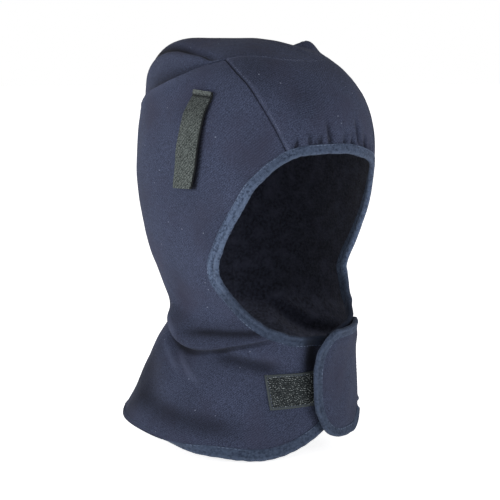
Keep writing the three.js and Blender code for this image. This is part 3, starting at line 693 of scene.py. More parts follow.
def neck_roll(turn, level):
    """How far the roll stands out, and how far it slides down."""
    below = below_crease(turn, level)
    half = blend(1, LEFT_ROLL_SHARE, (1 + np.sin(np.radians(turn))) / 2)
    height = half * crease_height(turn)
    slide = height / ROLL_HEIGHT * smooth(ROLL, "slide", below)
    return height * smooth(ROLL, "share", below), slide


def neck_shade(turn, level):
    """Painted shade under the roll and on its lower flank, 0 to 1."""
    below = below_crease(turn, level)
    to_back = ease(*CREASE_SHADE.to_back, np.abs(turn))
    wide = blend(*CREASE_SHADE.wide, to_back)
    crease = ease(*CREASE_SHADE.starts, below) * ease(*CREASE_SHADE.ends, below / wide)
    crease = crease * blend(*CREASE_SHADE.tone, to_back)
    flank = between(FLANK_SHADE.starts, FLANK_SHADE.ends, below)
    deep = ease(*CREASE_SHADE.heights, crease_height(turn))
    return deep * np.maximum(crease, FLANK_SHADE.tone * flank)


print("roll stands out by", round(float(neck_roll(-88, 2.485)[0]), 2), "mm at the side")

# %% Ridges and dents of the cape and the cheek
# Each fold: its ends, its height, its half width, its share on the left half, and its tone: over 0 a
# painted highlight along the fold, under 0 painted shade along the dent, over a broad stretch or as the
# flap's shadow
LINE_FOLDS = table(
    "from_turn from_level to_turn to_level height half_width left tone",
    (124, 2.5, 85, 2.82, 1.6, 7, 1, 0),
    (111, 2.545, 87, 2.71, 1.1, 1.5, 1, 0.5),
    (91, 2.6, 69, 2.775, 1.3, 1.6, 1, 0.4),
    (115, 2.3, 97, 2.42, 0.8, 1.6, 1, 0.55),
    (50, 2.54, 24, 2.555, 3, 5, 1, 0),
    (56, 2.575, 25, 2.668, -4.6, 3.2, 1, -0.7),
    (100, 2.995, 46, 3.13, -3.4, 6, 1, -0.62),
    (127, 2.7, 108, 3.04, 0, 20, 0, -0.68),
    (126, 2.7, 131, 3.06, -1.7, 16, 0, 0),
    (0, 2.43, 1, 2.71, -2.5, 4.5, 1, -0.95),
    (80, 2.4, 30, 2.372, -2.4, 1.9, 0.6, -0.6),
    (44, 1.29, 78, 1.535, -1.6, 6, 0.7, 0.07),
    (121, 2.25, 92, 2.45, 1.2, 5, 0.8, 0.1),
    (112, 2.75, 96, 3.0, -1.2, 7, 0.4, 0),
)
FOLD_FADE_OUTSIDE = 0.35
FOLD_FADE_INSIDE = 0.2


def fold_share(fold, turn, level):
    """How much a place takes of one ridge or dent, which fades at its sides and ends."""
    start = np.array([fold["from_turn"], fold["from_level"] * LEVEL_WEIGHT])
    run = np.array([fold["to_turn"], fold["to_level"] * LEVEL_WEIGHT]) - start
    offset = np.stack([np.abs(turn), level * LEVEL_WEIGHT], -1) - start
    along = offset @ run / (run @ run)
    aside = np.linalg.norm(offset - along[..., None] * run, axis=-1)
    begin = ease(-FOLD_FADE_OUTSIDE, FOLD_FADE_INSIDE, along)
    finish = ease(1 + FOLD_FADE_OUTSIDE, 1 - FOLD_FADE_INSIDE, along)
    side = np.where(turn > 0, fold["left"], 1)
    return side * begin * finish * bell(aside, fold["half_width"])


def line_folds(turn, level, column="height"):
    """Height, or tone, of all ridges and dents together."""
    return sum(fold[column] * fold_share(fold, turn, level) for fold in rows_of(LINE_FOLDS))


print(len(LINE_FOLDS["height"]), "ridges and dents")

# %% Small unevenness that all panels share
WAVES = 9
WAVE_SPREAD = (0.7, 1.4)  # shares of a length that the single waves may have
# Height, length and seed of each ripple of the loose cloth
LUMPS = [(0.55, 48, 11), (0.16, 17, 12)]
MOTTLE = Values(tone=0.14, length=70, seed=13, limits=(-0.2, 1))


def ripple(points, length, seed):
    """Smooth unevenness through space, about -1 to 1, with lumps of about a length in mm."""
    source = np.random.default_rng(seed)
    ways = source.normal(size=(WAVES, 3))
    ways /= np.linalg.norm(ways, axis=1, keepdims=True)
    ways *= 2 * math.pi / (length * source.uniform(*WAVE_SPREAD, (WAVES, 1)))
    return 2 * np.sin(points @ ways.T + source.uniform(0, 2 * math.pi, WAVES)).mean(-1)


def waver(points, height, length, seed):
    """Ripple of some height."""
    return height * ripple(points, length, seed)


def mottle(points):
    """How much deeper in tone the cloth stays in broad patches, 0 to 1."""
    return MOTTLE.tone * ease(*MOTTLE.limits, ripple(points, MOTTLE.length, MOTTLE.seed))


def unevenness(points):
    """Soft lumps of loose cloth, in mm."""
    return sum(waver(points, *lump) for lump in LUMPS)


print("unevenness at the crown:", round(float(unevenness(hood(0, 0.0))), 2), "mm")

# %% [markdown]
# ## From a grid to a piece of cloth
#
# A panel is a grid of points with an outer twill face, an inner fleece face and a narrow wall round its
# edge. Subdividing a coarse mesh would round the seams away, so the grid is fine from the start and its
# columns crowd together towards the seams. A flat map in metres goes with it for the weave, and painted
# values for rubbed places, painted highlights and painted shade.

# %% Ways out, and lengths from the edges
def normals_of(grid, outward):
    """Way out at each point of a grid."""
    return unit(np.cross(np.gradient(grid, axis=1), np.gradient(grid, axis=0))) * outward


def lengths(grid, axis):
    """Length along a grid's rows or columns from their start, and to their end."""
    steps = np.linalg.norm(np.diff(grid, axis=axis), axis=-1)
    from_start = np.insert(np.cumsum(steps, axis=axis), 0, 0, axis=axis)
    return from_start, np.take(from_start, [-1], axis=axis) - from_start


def edge_gap(grid):
    """Length from each point of a grid to the nearest of its four edges."""
    return np.minimum(np.minimum(*lengths(grid, 1)), np.minimum(*lengths(grid, 0)))


def crowded(count, share=0.8):
    """Shares from 0 to 1 that crowd together at both ends."""
    even = np.linspace(0, 1, count)
    return even - share * np.sin(2 * math.pi * even) / (2 * math.pi)


print("grid helpers ready")

# %% What a seam does to the cloth beside it
# A waver is given as its height, length and seed, a groove as its depth and width, and a rubbed line as
# its distance from the seam and its width
PUCKER = (0.3, 7, 21)
PUCKER_REACH = 4


def groove(distance, depth, width):
    """Dip of the cloth at a seam, by the distance from it."""
    return -depth * bell(distance, width)


def pucker(points, gap):
    """Small waves of cloth that is drawn in by a seam, fading with the distance from it."""
    return waver(points, *PUCKER) * np.exp(-gap / PUCKER_REACH)


def rubbed(distance, at, width):
    """Pale line that rubbing leaves beside a seam, by the distance from it."""
    return np.exp(-np.abs(distance - at) / width)


print("seam helpers ready")

# %% Mesh of a piece of cloth
SHARP = math.radians(55)


def link_mesh(name, points, faces, materials, face_material, flat, values):
    """New object from points in mm, with its flat map in mm and values painted on its points."""
    mesh = bpy.data.meshes.new(name)
    mesh.from_pydata((points * MM).tolist(), [], faces)
    for material in materials:
        mesh.materials.append(material)
    mesh.polygons.foreach_set("material_index", face_material)
    mesh.polygons.foreach_set("use_smooth", np.ones(len(faces), bool))
    corner_points = np.empty(len(mesh.loops), np.int32)
    mesh.loops.foreach_get("vertex_index", corner_points)
    mesh.uv_layers.new(name="cloth").data.foreach_set("uv", (flat * MM)[corner_points].ravel())
    for key, value in values.items():
        mesh.attributes.new(key, "FLOAT", "POINT").data.foreach_set("value", value)
    mesh.set_sharp_from_angle(angle=SHARP)
    mesh.update()
    made = bpy.data.objects.new(name, mesh)
    bpy.context.scene.collection.objects.link(made)
    print(name, "has", len(faces), "faces, size", np.round(np.ptp(points, axis=0), 1), "mm")
    return made


def facing_out(points, faces):
    """The same faces, all turned over if they point into the body that they close."""
    quads = points[np.array(faces)]
    volume = np.einsum("ij,ij->i", quads[:, 0], np.cross(quads[:, 1], quads[:, 2])).sum()
    volume += np.einsum("ij,ij->i", quads[:, 0], np.cross(quads[:, 2], quads[:, 3])).sum()
    return faces if volume > 0 else [face[::-1] for face in faces]


def edge_ring(index):
    """Numbers of the points round a grid's edge, in order."""
    return np.concatenate([index[0, :-1], index[:-1, -1], index[-1, :0:-1], index[:0:-1, 0]])


def cloth_piece(name, outer, inner, flat, marks, materials):
    """Closed cloth from a grid of outer points and a grid of inner points, with its painted marks."""
    rows, columns = outer.shape[:2]
    count = rows * columns
    index = np.arange(count).reshape(rows, columns)
    top = np.stack([index[:-1, :-1], index[:-1, 1:], index[1:, 1:], index[1:, :-1]], -1).reshape(-1, 4)
    ring = edge_ring(index)
    after = np.roll(ring, -1)
    wall = np.stack([after, ring, ring + count, after + count], -1)
    faces = np.concatenate([top, top[:, ::-1] + count, wall]).tolist()
    face_material = np.zeros(len(faces), np.int32)
    face_material[len(top) : 2 * len(top)] = 1
    points = np.concatenate([outer.reshape(-1, 3), inner.reshape(-1, 3)])
    both = {key: np.tile(values.ravel(), 2) for key, values in marks.items()}
    flat_twice = np.tile(flat.reshape(-1, 2), (2, 1))
    return link_mesh(name, points, facing_out(points, faces), materials, face_material, flat_twice, both)


print("cloth helper ready")

# %% [markdown]
# ## The forehead panel
#
# The forehead panel is gathered into the brow binding, so short creases stand in a row above the tape.
# Each crease is a narrow dent with its own reach, and a seeded handful of smaller ones breaks the row up.

# %% Places of the forehead panel
BROW_CROWDING = 1.5
FRONT_ROWS = 8
FRONT_GRID = (76, 131)
FRONT_CROWDING = 0.5


def front_seam_stop(row):
    """Place on the front seam at a row, where rows crowd together towards the brow."""
    return front_seam(1 - (1 - np.asarray(row) / FRONT_ROWS) ** BROW_CROWDING)


def front_place(row, share):
    """Turn and level in the forehead panel, by row and by share from the right seam to the left."""
    seam_turn, seam_level = front_seam_stop(row)
    corner_turn, corner_level = front_seam_stop(0)
    brow_turn, brow_level = front_seam_stop(FRONT_ROWS)
    down = (seam_level - corner_level) / (brow_level - corner_level)
    top = smooth(TOP_SEAM, "level", np.abs(share) * corner_turn) - corner_level
    edge = smooth(BROW_EDGE, "level", np.abs(share) * brow_turn) - brow_level
    return share * seam_turn, seam_level + blend(top, edge, down)


front_rows = crowded(FRONT_GRID[0], FRONT_CROWDING)[:, None] * FRONT_ROWS
front_shares = 2 * crowded(FRONT_GRID[1])[None, :] - 1
front_turn, front_level = front_place(front_rows, front_shares)
front_plain = hood(front_turn, front_level)
front_out = normals_of(front_plain, -1)
from_right, from_left = lengths(front_plain, 1)
from_top, from_brow = lengths(front_plain, 0)
front_gap = np.minimum(from_right, from_left)
print("forehead panel spans", round(float(np.ptp(front_turn))), "degrees of turn")

# %% Gathers above the brow
GATHERS = table(
    "turn reach depth",
    (-19.5, 0.07, 0.9), (-14.5, 0.09, 1.5), (-9.5, 0.08, 1.2), (-4.8, 0.15, 2), (2.6, 0.08, 1.3),
    (7.2, 0.08, 1.1), (12, 0.16, 2), (16.8, 0.09, 1.3), (21, 0.07, 0.9),
)
SMALL_GATHERS = {"turn": (-23, 23), "reach": (0.03, 0.07), "depth": (0.3, 0.8)}
SMALL_COUNT = 30
SMALL_SEED = 5
HALF_TURNS = Values(large=1.0, small=0.55)
GATHER_DEPTH = 1.4
# Each gather leans by its own amount, starts at the binding and fades at its upper end
GATHER_LEAN = Values(most=0.9, change=3)
GATHER_ENDS = Values(starts=(0, 0.2), fades=(1, 0.25))


def gathers(turn, level):
    """Creases of the forehead panel above the brow binding."""
    source = np.random.default_rng(SMALL_SEED)
    small = [source.uniform(*limits, SMALL_COUNT) for limits in SMALL_GATHERS.values()]
    edge = smooth(BROW_EDGE, "level", np.abs(turn))
    rise = np.zeros_like(turn)
    for dents, half_turn in ((GATHERS.values(), HALF_TURNS.large), (small, HALF_TURNS.small)):
        for place, reach_up, depth in zip(*dents):
            above = (edge - level) / reach_up
            leant = place + GATHER_LEAN.most * np.sin(place * GATHER_LEAN.change) * above
            dent = GATHER_DEPTH * depth * bell(turn - leant, half_turn)
            rise -= dent * ease(*GATHER_ENDS.starts, above) * ease(*GATHER_ENDS.fades, above)
    return rise


front_folds = gathers(front_turn, front_level)
print("deepest gather:", round(float(-front_folds.min()), 2), "mm")

# %% Tones of the forehead panel
# Painted shade in the front seam is darkest at its top and the rubbed line beside it palest at its foot,
# by the length from the top
FRONT_TONES = Values(fades=(52, 18), shade=(0.3, 0.6), wear=(0.4, 0.16), line=0.7)
FRONT_SEAM_RUB = (2.2, 1.0)
# The top seam is rubbed palest on the wearer's right
TOP_TONES = Values(shares=(0.4, -0.2), wear=(0.2, 0.65))
TOP_SEAM_RUB = (1.6, 0.9)
GATHER_SHADE = Values(depth=4, most=0.6)
# Patches of painted shade on the forehead
SHADED_PATCHES = table(
    "turn level half_turn half_level tone",
    (-34, 0.56, 14, 0.12, 0.36), (-14, 0.74, 9, 0.09, 0.3), (16, 0.56, 14, 0.1, 0.2),
)

near_top = ease(*FRONT_TONES.fades, from_top)
top_wear = blend(*TOP_TONES.wear, ease(*TOP_TONES.shares, front_shares))
front_wear = blend(*FRONT_TONES.wear, near_top) * rubbed(front_gap, *FRONT_SEAM_RUB)
front_wear += top_wear * rubbed(from_top, *TOP_SEAM_RUB)
# Painted shade in the gathers, along the front seam and in the shaded patches
front_shade = np.clip(-front_folds / GATHER_SHADE.depth, 0, GATHER_SHADE.most)
front_shade += blend(*FRONT_TONES.shade, near_top) * bell(front_gap, FRONT_TONES.line)
for patch in rows_of(SHADED_PATCHES):
    front_shade += patch["tone"] * spot(patch, turn=front_turn, level=front_level)
front_marks = {"wear": front_wear, "crease": np.clip(front_shade, 0, 1)}
print("forehead is shaded up to", round(float(front_shade.max()), 2))

# %% Cloth of the forehead panel
FRONT_CUT = (0.175, 0.1, 0.0112)
FRONT_SEAM_GROOVE = (0.7, 1.3)
TOP_SEAM_GROOVE = (0.35, 1.0)
BROW_CALM = (0, 12)

front_rise = front_folds + unevenness(front_plain) * ease(*BROW_CALM, from_brow)
front_rise += pucker(front_plain, np.minimum(front_gap, from_top))
front_rise += groove(front_gap, *FRONT_SEAM_GROOVE) + groove(from_top, *TOP_SEAM_GROOVE)
front_outer = front_plain + front_out * front_rise[..., None]
front_inner = front_plain - front_out * WALL
front_flat = np.stack([from_right - from_right[:, -1:] / 2, -from_top], -1)
front_panel = cloth_piece(
    "front_panel_cloth", front_outer, front_inner, front_flat, front_marks, [TWILL, FLEECE]
)

# %% [markdown]
# ## The crown piece
#
# The crown piece runs over the top of the head and down the back to the hem. On the head it has slack:
# beside its front corners the cloth puffs up and rolls over, and the seam behind the puff sinks into a
# valley. On the wearer's left the slack stands up as a small ear behind the top seam.

# %% Places of the crown piece
BACK_ROWS = 28
TOP_SEAM_FADE = 12
CROWN_GRID = (170, 141)
CROWN_CROWDING = 1.3
POLE_LEVEL = 0.25


def to_dome(turn, level):
    """Angles across and over the dome of a place, in degrees."""
    tilt = np.radians(level * 90)
    x = np.sin(np.radians(turn)) * np.sin(tilt)
    front = np.cos(np.radians(turn)) * np.sin(tilt)
    return np.degrees(np.arcsin(x)), np.degrees(np.arctan2(np.cos(tilt), front))


def from_dome(across, over):
    """Turn and level of a place on the dome."""
    x = np.sin(np.radians(across))
    front = np.cos(np.radians(across)) * np.cos(np.radians(over))
    up = np.cos(np.radians(across)) * np.sin(np.radians(over))
    return np.degrees(np.arctan2(x, front)), np.degrees(np.arccos(up)) / 90


def crown_place(row, share):
    """Turn and level in the crown piece, by row from the top seam and by share from right to left."""
    seam_turn, seam_level = back_seam(row / BACK_ROWS)
    edge_across, edge_over = to_dome(seam_turn, np.minimum(seam_level, 1))
    corner_across, corner_over = to_dome(*back_seam(0.0))
    front_across, front_over = to_dome(*front_place(0, share))
    fade = np.maximum(1 - row / TOP_SEAM_FADE, 0) ** 2
    across = share * edge_across + fade * (front_across - share * corner_across)
    dome_turn, dome_level = from_dome(across, edge_over + fade * (front_over - corner_over))
    round_turn = 180 - share * (180 - seam_turn)
    round_turn = np.where(round_turn > 180, round_turn - 360, round_turn)
    low = seam_level >= 1
    return np.where(low, round_turn, dome_turn), np.where(low, seam_level + 0 * share, dome_level)


crown_rows = np.linspace(0, 1, CROWN_GRID[0])[:, None] ** CROWN_CROWDING * BACK_ROWS
crown_shares = 2 * crowded(CROWN_GRID[1])[None, :] - 1
crown_along = crown_rows / BACK_ROWS + 0 * crown_shares
crown_turn, crown_level = crown_place(crown_rows, crown_shares)
crown_plain = hood(crown_turn, crown_level)
away_from_top = (crown_level > POLE_LEVEL)[..., None]
safe_level = np.maximum(crown_level, POLE_LEVEL)
crown_out = np.where(away_from_top, surface_out(crown_turn, safe_level), normals_of(crown_plain, 1))
crown_right, crown_left = lengths(crown_plain, 1)
crown_gap = np.minimum(crown_right, crown_left)
crown_fall, _ = lengths(crown_plain, 0)
print("crown piece is", round(float(crown_fall[-1, CROWN_GRID[1] // 2])), "mm long")

# %% Puff and valley beside the crown piece's seam
# Beside the crown piece's seam, by share of the seam's length: the share of the half width where the puff
# ends, its height, the hollow between puff and seam, how far the seam itself sinks, and the side panel's
# ridge beside it
CROWN_PUFF = table(
    "along lip height hollow sink ridge",
    (0, 0.98, 0, 0, 0, 0), (0.04, 0.965, 0.8, 0.8, 0, 0.8), (0.07, 0.9, 1.8, 2, 0, 2),
    (0.11, 0.79, 2.8, 3.4, 0, 3.4), (0.155, 0.72, 3.6, 4.6, 0, 4.6), (0.2, 0.645, 3, 5.6, 0.3, 5),
    (0.25, 0.6, 1.5, 6.4, 1.6, 4.6), (0.3, 0.585, 0.9, 6.4, 3.6, 3.4), (0.345, 0.58, 0.4, 5, 5.6, 2.2),
    (0.4, 0.58, 0.2, 3, 4, 1), (0.47, 0.58, 0, 1.2, 1.4, 0.3), (0.55, 0.58, 0, 0, 0, 0),
)
LIP_WIDTH = 0.07
BEHIND_LIP = Values(depth=0.8, from_lip=0.09, width=0.05, until=(0.27, 0.19))
HOLLOW_DEEPEST = 0.28
CROWN_SINK = (0.25, 0.85)
# Broad swells of the crown piece's middle, by share of its length and of its half width
SWELLS = table(
    "along half_along share half_share height",
    (0.22, 0.09, -0.2, 0.32, 0.9), (0.245, 0.055, -0.43, 0.16, 3.2),
)


def lip_place(side, along):
    """Share of the half width at the lip, and how far a place is from the seam on the way to the lip."""
    lip = smooth(CROWN_PUFF, "lip", along)
    return lip, (1 - np.abs(side)) / (1 - lip)


def crown_puff(side, along):
    """Puff and hollow beside the seam, the little valley behind the lip, and the swells of the middle."""
    share = np.abs(side)
    lip, across = lip_place(side, along)
    height, hollow, sink = (
        smooth(CROWN_PUFF, column, along) for column in ("height", "hollow", "sink")
    )
    puff = ease(lip - LIP_WIDTH, lip, share) * ease(0, 1, across)
    behind = bell(share - lip + BEHIND_LIP.from_lip, BEHIND_LIP.width)
    behind = behind * ease(*BEHIND_LIP.until, along)
    dip = between((0, HOLLOW_DEEPEST), (1, HOLLOW_DEEPEST), across)
    swell = sum(place["height"] * spot(place, share=side, along=along) for place in rows_of(SWELLS))
    rise = height * (puff - BEHIND_LIP.depth * behind) - hollow * dip
    return rise - sink * ease(*CROWN_SINK, share) + swell


crown_rise = crown_puff(crown_shares, crown_along)
print("puff runs from", crown_rise.min().round(1), "to", crown_rise.max().round(1), "mm")

# %% Ear behind the top seam
EAR = {"across": 22, "half_across": (2.3, 4.6), "over": 65, "half_over": 5.4, "height": 6.4}
EAR_DIP = {"across": 14.5, "half_across": 7, "over": 71, "half_over": 11, "depth": 2.8}
EAR_RISES = (0, 0.07)
EAR_CREASE = Values(across=(-1, 3.2), over=(63, 48.7), depth=1.2, half_width=1.8)
EAR_CREASE_ENDS = Values(starts=(-0.3, 0.2), fades=(1.3, 0.8))


def ear(turn, level, along):
    """Ear of loose cloth on the wearer's left, with the dip beside it and the crease in front of it."""
    across, over = to_dome(turn, np.minimum(level, 1))
    rises = ease(*EAR_RISES, along)
    uneven_ear = {**EAR, "half_across": np.where(across < EAR["across"], *EAR["half_across"])}
    bump = EAR["height"] * spot(uneven_ear, across=across, over=over) * rises
    bump = bump - EAR_DIP["depth"] * spot(EAR_DIP, across=across, over=over) * rises
    first_over, last_over = EAR_CREASE.over
    down = (first_over - over) / (first_over - last_over)
    aside = across - blend(*EAR_CREASE.across, down)
    crease = EAR_CREASE.depth * bell(aside, EAR_CREASE.half_width)
    crease = crease * ease(*EAR_CREASE_ENDS.starts, down) * ease(*EAR_CREASE_ENDS.fades, down)
    return np.where(level < 1, bump - crease, 0)


crown_rise = crown_rise + ear(crown_turn, crown_level, crown_along)
print("with its ear the crown rises to", crown_rise.max().round(1), "mm")

# %% Tones of the crown piece
# Painted shade behind the lip and in the hollow beside the seam, and a painted highlight on the puff
LIP_SHADE = Values(
    starts=(0.015, 0.04), ends=(0.2, 0.075), begins=(0.035, 0.065), until=(0.55, 0.42),
    narrow=0.3, widens=(0.06, 0.26), tone=0.92,
)
HOLLOW_SHADE = Values(reach=0.8, hollow=(0.8, 3.2), tone=0.85)
PUFF_HIGHLIGHT = Values(starts=(0.4, 0.7), ends=(1.1, 0.85), hollow=(1, 5), wear=0.04)
# Rubbed pale line beside the back seam, and a line of painted shade in the seam
BACK_SEAM_RUB = (2, 1.0)
BACK_TONES = Values(wear=0.2, shade=0.5, line=1.2, begins=(0, 0.07))


def crown_tones(side, along):
    """Painted shade behind the lip and beside the seam, and the painted highlight on the puff."""
    lip, across = lip_place(side, along)
    hollow = smooth(CROWN_PUFF, "hollow", along)
    past = (lip - np.abs(side)) / blend(LIP_SHADE.narrow, 1, ease(*LIP_SHADE.widens, along))
    behind = between(LIP_SHADE.starts, LIP_SHADE.ends, past)
    behind = behind * ease(*LIP_SHADE.begins, along) * ease(*LIP_SHADE.until, along)
    beside = ease(HOLLOW_SHADE.reach, 0, across) * ease(*HOLLOW_SHADE.hollow, hollow)
    puff = between(PUFF_HIGHLIGHT.starts, PUFF_HIGHLIGHT.ends, across) * ease(*PUFF_HIGHLIGHT.hollow, hollow)
    return LIP_SHADE.tone * behind + HOLLOW_SHADE.tone * beside, PUFF_HIGHLIGHT.wear * puff


def back_seam_shade(gap, along):
    """Line of painted shade in the seam between the crown piece and a side panel."""
    line = BACK_TONES.shade * bell(gap, BACK_TONES.line)
    return line * ease(*BACK_TONES.begins, along)


fold_shade, puff_highlight = crown_tones(crown_shares, crown_along)
crown_wear_and_highlight = puff_highlight + BACK_TONES.wear * rubbed(crown_gap, *BACK_SEAM_RUB)
crown_shade = fold_shade + neck_shade(crown_turn, crown_level)
crown_shade = crown_shade + back_seam_shade(crown_gap, crown_along) + mottle(crown_plain)
crown_marks = {"wear": crown_wear_and_highlight, "crease": np.clip(crown_shade, 0, 1)}
print("crown is shaded up to", crown_shade.max().round(2))

# %% Cloth of the crown piece
CROWN_CUT = (0.2, 0.52, 0.0535)
INNER_SHARE = 0.7
INNER_SLIDE = 0.3
CROWN_UNEVEN = 1.3
CROWN_SEAM_GROOVE = (0.8, 1.2)
CROWN_TOP_GROOVE = (0.3, 1.0)


def down_slope(out):
    """Way down along the surface."""
    return unit(np.array([0, 0, -1.0]) + out[..., 2:] * out)


def moved(plain, out, rise, slide):
    """Outer and inner points of cloth that is folded: the fleece follows the folds less sharply."""
    down = down_slope(out)
    outer = plain + out * rise[..., None] + down * slide[..., None]
    inner = plain + out * (INNER_SHARE * rise - WALL)[..., None] + down * INNER_SLIDE * slide[..., None]
    return outer, inner


roll_rise, crown_slide = neck_roll(crown_turn, crown_level)
crown_rise += roll_rise + line_folds(crown_turn, crown_level) + unevenness(crown_plain) * CROWN_UNEVEN
crown_rise += pucker(crown_plain, np.minimum(crown_gap, crown_fall))
crown_rise += groove(crown_gap, *CROWN_SEAM_GROOVE) + groove(crown_fall, *CROWN_TOP_GROOVE)
crown_outer, crown_inner = moved(crown_plain, crown_out, crown_rise, crown_slide)
middle_fall = crown_fall[:, CROWN_GRID[1] // 2][:, None] + 0 * crown_gap
crown_flat = np.stack([crown_right - crown_right[:, -1:] / 2, -middle_fall], -1)
crown_panel = cloth_piece(
    "crown_panel_cloth", crown_outer, crown_inner, crown_flat, crown_marks, [TWILL, FLEECE]
)

# %% [markdown]
# ## The side panels
#
# Each side panel is one cut for the cheek, the neck and half of the cape. Its rows fan round the cheek,
# from the front seam and the face edge to the back seam and the hem, so that one grid covers the whole
# cut. The left half stands off the neck under the flap that is sewn to it. A shadow is painted on the
# cloth under a strap's front edge, so the line that a strap follows is set here, before the strap itself
# is made.

# %% Places of a side panel
HEM_ROWS = 17
SIDE_ROWS = BACK_ROWS + HEM_ROWS
NECK_FROM = 22
NECK_UNTIL = 37
APEX_ROW = 0.3
LEAST_STEP = 2
RIGHT = Values(sign=-1, closure_turn=-9, chin_level=2.51)
LEFT = Values(sign=1, closure_turn=13, chin_level=2.495)
TUCK = Values(begins=(-40, -84), until=(-156, -138), angle=math.radians(100), drop=0.085, inwards=1.7)
SIDE_COLUMNS = 111
SIDE_CROWDING = 0.6
# Stretches of rows, finest round the neck: the first row, the last one, and the number of points
SIDE_STRETCHES = [
    (APEX_ROW, FRONT_ROWS, 41),
    (FRONT_ROWS, NECK_FROM, 101),
    (NECK_FROM, BACK_ROWS, 97),
    (BACK_ROWS, NECK_UNTIL, 145),
    (NECK_UNTIL, SIDE_ROWS, 41),
]
SIDE_STOPS = np.concatenate([[APEX_ROW], *[np.linspace(*stretch)[1:] for stretch in SIDE_STRETCHES]])
FACE_START = int(np.searchsorted(SIDE_STOPS, FRONT_ROWS))
HEM_START = int(np.searchsorted(SIDE_STOPS, BACK_ROWS))


def inner_stops(half):
    """Turns and levels down a side panel's inner edge."""
    kept = FACE_EDGE["turn"] > half.closure_turn + LEAST_STEP
    turns = np.append(FACE_EDGE["turn"][kept], half.closure_turn)
    levels = np.append(FACE_EDGE["level"][kept], half.chin_level)
    face_edge = route(turns, levels)
    below = np.clip((SIDE_STOPS - FRONT_ROWS) / (SIDE_ROWS - FRONT_ROWS), 0, 1)
    seam = front_seam_stop(np.minimum(SIDE_STOPS, FRONT_ROWS))
    return [np.where(SIDE_STOPS <= FRONT_ROWS, s, f) for s, f in zip(seam, face_edge(below))]


def tucked(turn):
    """Share by which the hem is turned under, so that the cloth reaches down to where tape would end."""
    return between(TUCK.begins, TUCK.until, turn)


def cut_level(turn):
    """Level of the cloth's lower edge."""
    return smooth(HEM, "level", turn) + TUCK.drop * tucked(turn)


def outer_stops(half):
    """Turns and levels down a side panel's outer edge."""
    share = np.clip((SIDE_STOPS - BACK_ROWS) / HEM_ROWS, 0, 1)
    hem_turn = blend(BACK_SEAM["turn"][-1], half.closure_turn, share)
    hem = (hem_turn, cut_level(half.sign * hem_turn))
    seam = back_seam(np.minimum(SIDE_STOPS / BACK_ROWS, 1))
    return [np.where(SIDE_STOPS <= BACK_ROWS, s, h) for s, h in zip(seam, hem)]


def side_places(half):
    """Turn and level at each point of a side panel, and its share of the way to the outer edge."""
    share = crowded(SIDE_COLUMNS, SIDE_CROWDING)[None, :]
    edges = zip(inner_stops(half), outer_stops(half))
    turn, level = (blend(inner[:, None], outer[:, None], share) for inner, outer in edges)
    return half.sign * turn, level, share


print("side panels have", len(SIDE_STOPS), "rows of", SIDE_COLUMNS, "points")

# %% The left half stands off under the flap
LAY_GAP = 0.5
FRONT_LIFT = table(
    "level lift",
    (1.95, 0), (2.2, 7), (2.42, 11.5), (2.6, 10), (2.8, 8), (3, 5.5), (3.2, 3.5),
)
LEFT_LIFT = (112, 62)
FLAP_ROOT_TURN = 39
ROOT_DIP = (52, 43)
HEM_DIP = Values(depth=1.5, levels=(2.85, 3))
ROOT_PROUD = 1


def front_lift(level):
    """How far the left half's front stands off the neck."""
    return smooth(FRONT_LIFT, "lift", level)


def left_lift(turn, level):
    """The same by turn: it starts at the side, dips under the flap and ends behind it."""
    lift = front_lift(level) * ease(*LEFT_LIFT, turn)
    hem = HEM_DIP.depth * ease(*HEM_DIP.levels, level)
    dip = (WALL + LAY_GAP - ROOT_PROUD + hem) * ease(*ROOT_DIP, turn)
    return np.maximum(lift - dip, 0) * (1 - ease(FLAP_ROOT_TURN, LEFT.closure_turn, turn))


print("left half stands off by", round(float(left_lift(60.0, 2.42)), 1), "mm at the cheek")

# %% Where the straps lie
STRAP_LINE = table(
    "level turn lift width",
    (0.657, 61.6, 0, 16.4), (0.683, 62.2, 0.1, 17), (0.72, 64.3, 0.4, 18.8), (0.77, 66.8, 1.2, 20.4),
    (0.95, 71, 2.4, 21.4), (1.07, 72.1, 2.6, 20.8), (1.238, 74.7, 2.6, 19.2),
)
# Shade in front of a strap's edge, by mm before it and by level
STRAP_SHADOW = Values(
    starts=(-6, -4), ends=(1.7, 0.4), begins=(0.68, 0.76), until=(1.255, 1.235), tone=0.85,
)


def strap_middle(level):
    """Turn of a strap's middle line, half its width as a turn, and its distance from the head's middle."""
    turn = smooth(STRAP_LINE, "turn", level)
    middle = hood(turn, level)
    reach_mm = np.hypot(middle[..., 0], middle[..., 1] - SECTIONS["centre_y"][0])
    return turn, np.degrees(smooth(STRAP_LINE, "width", level) / 2 / reach_mm), reach_mm


def strap_shade(turn, level):
    """Painted shadow on the cloth under a strap's front edge."""
    middle, half_turn, reach_mm = strap_middle(level)
    before = np.radians(middle - half_turn - np.abs(turn)) * reach_mm
    shade = between(STRAP_SHADOW.starts, STRAP_SHADOW.ends, before)
    shade = shade * ease(*STRAP_SHADOW.begins, level) * ease(*STRAP_SHADOW.until, level)
    return STRAP_SHADOW.tone * shade


print("a strap is", round(float(strap_middle(0.95)[1] * 2), 1), "degrees wide")

# %% Folds of a side panel
# Ridge of a side panel beside the back seam, with a painted highlight along it
RIDGE = Values(rises=(0, 3), falls=(40, 4), worn=(16, 3), wear=0.06)
SIDE_SINK = 0.28
HEM_FLARE = Values(turns=(-80, -112), reach=0.09, out=0.7)


def along_back_seam(column):
    """Value beside the crown piece's seam at each row of a side panel."""
    return smooth(CROWN_PUFF, column, SIDE_STOPS[:, None] / BACK_ROWS)


def seam_ridge(outer_gap):
    """Ridge of a side panel beside the crown piece's seam."""
    return along_back_seam("ridge") * ease(*RIDGE.rises, outer_gap) * ease(*RIDGE.falls, outer_gap)


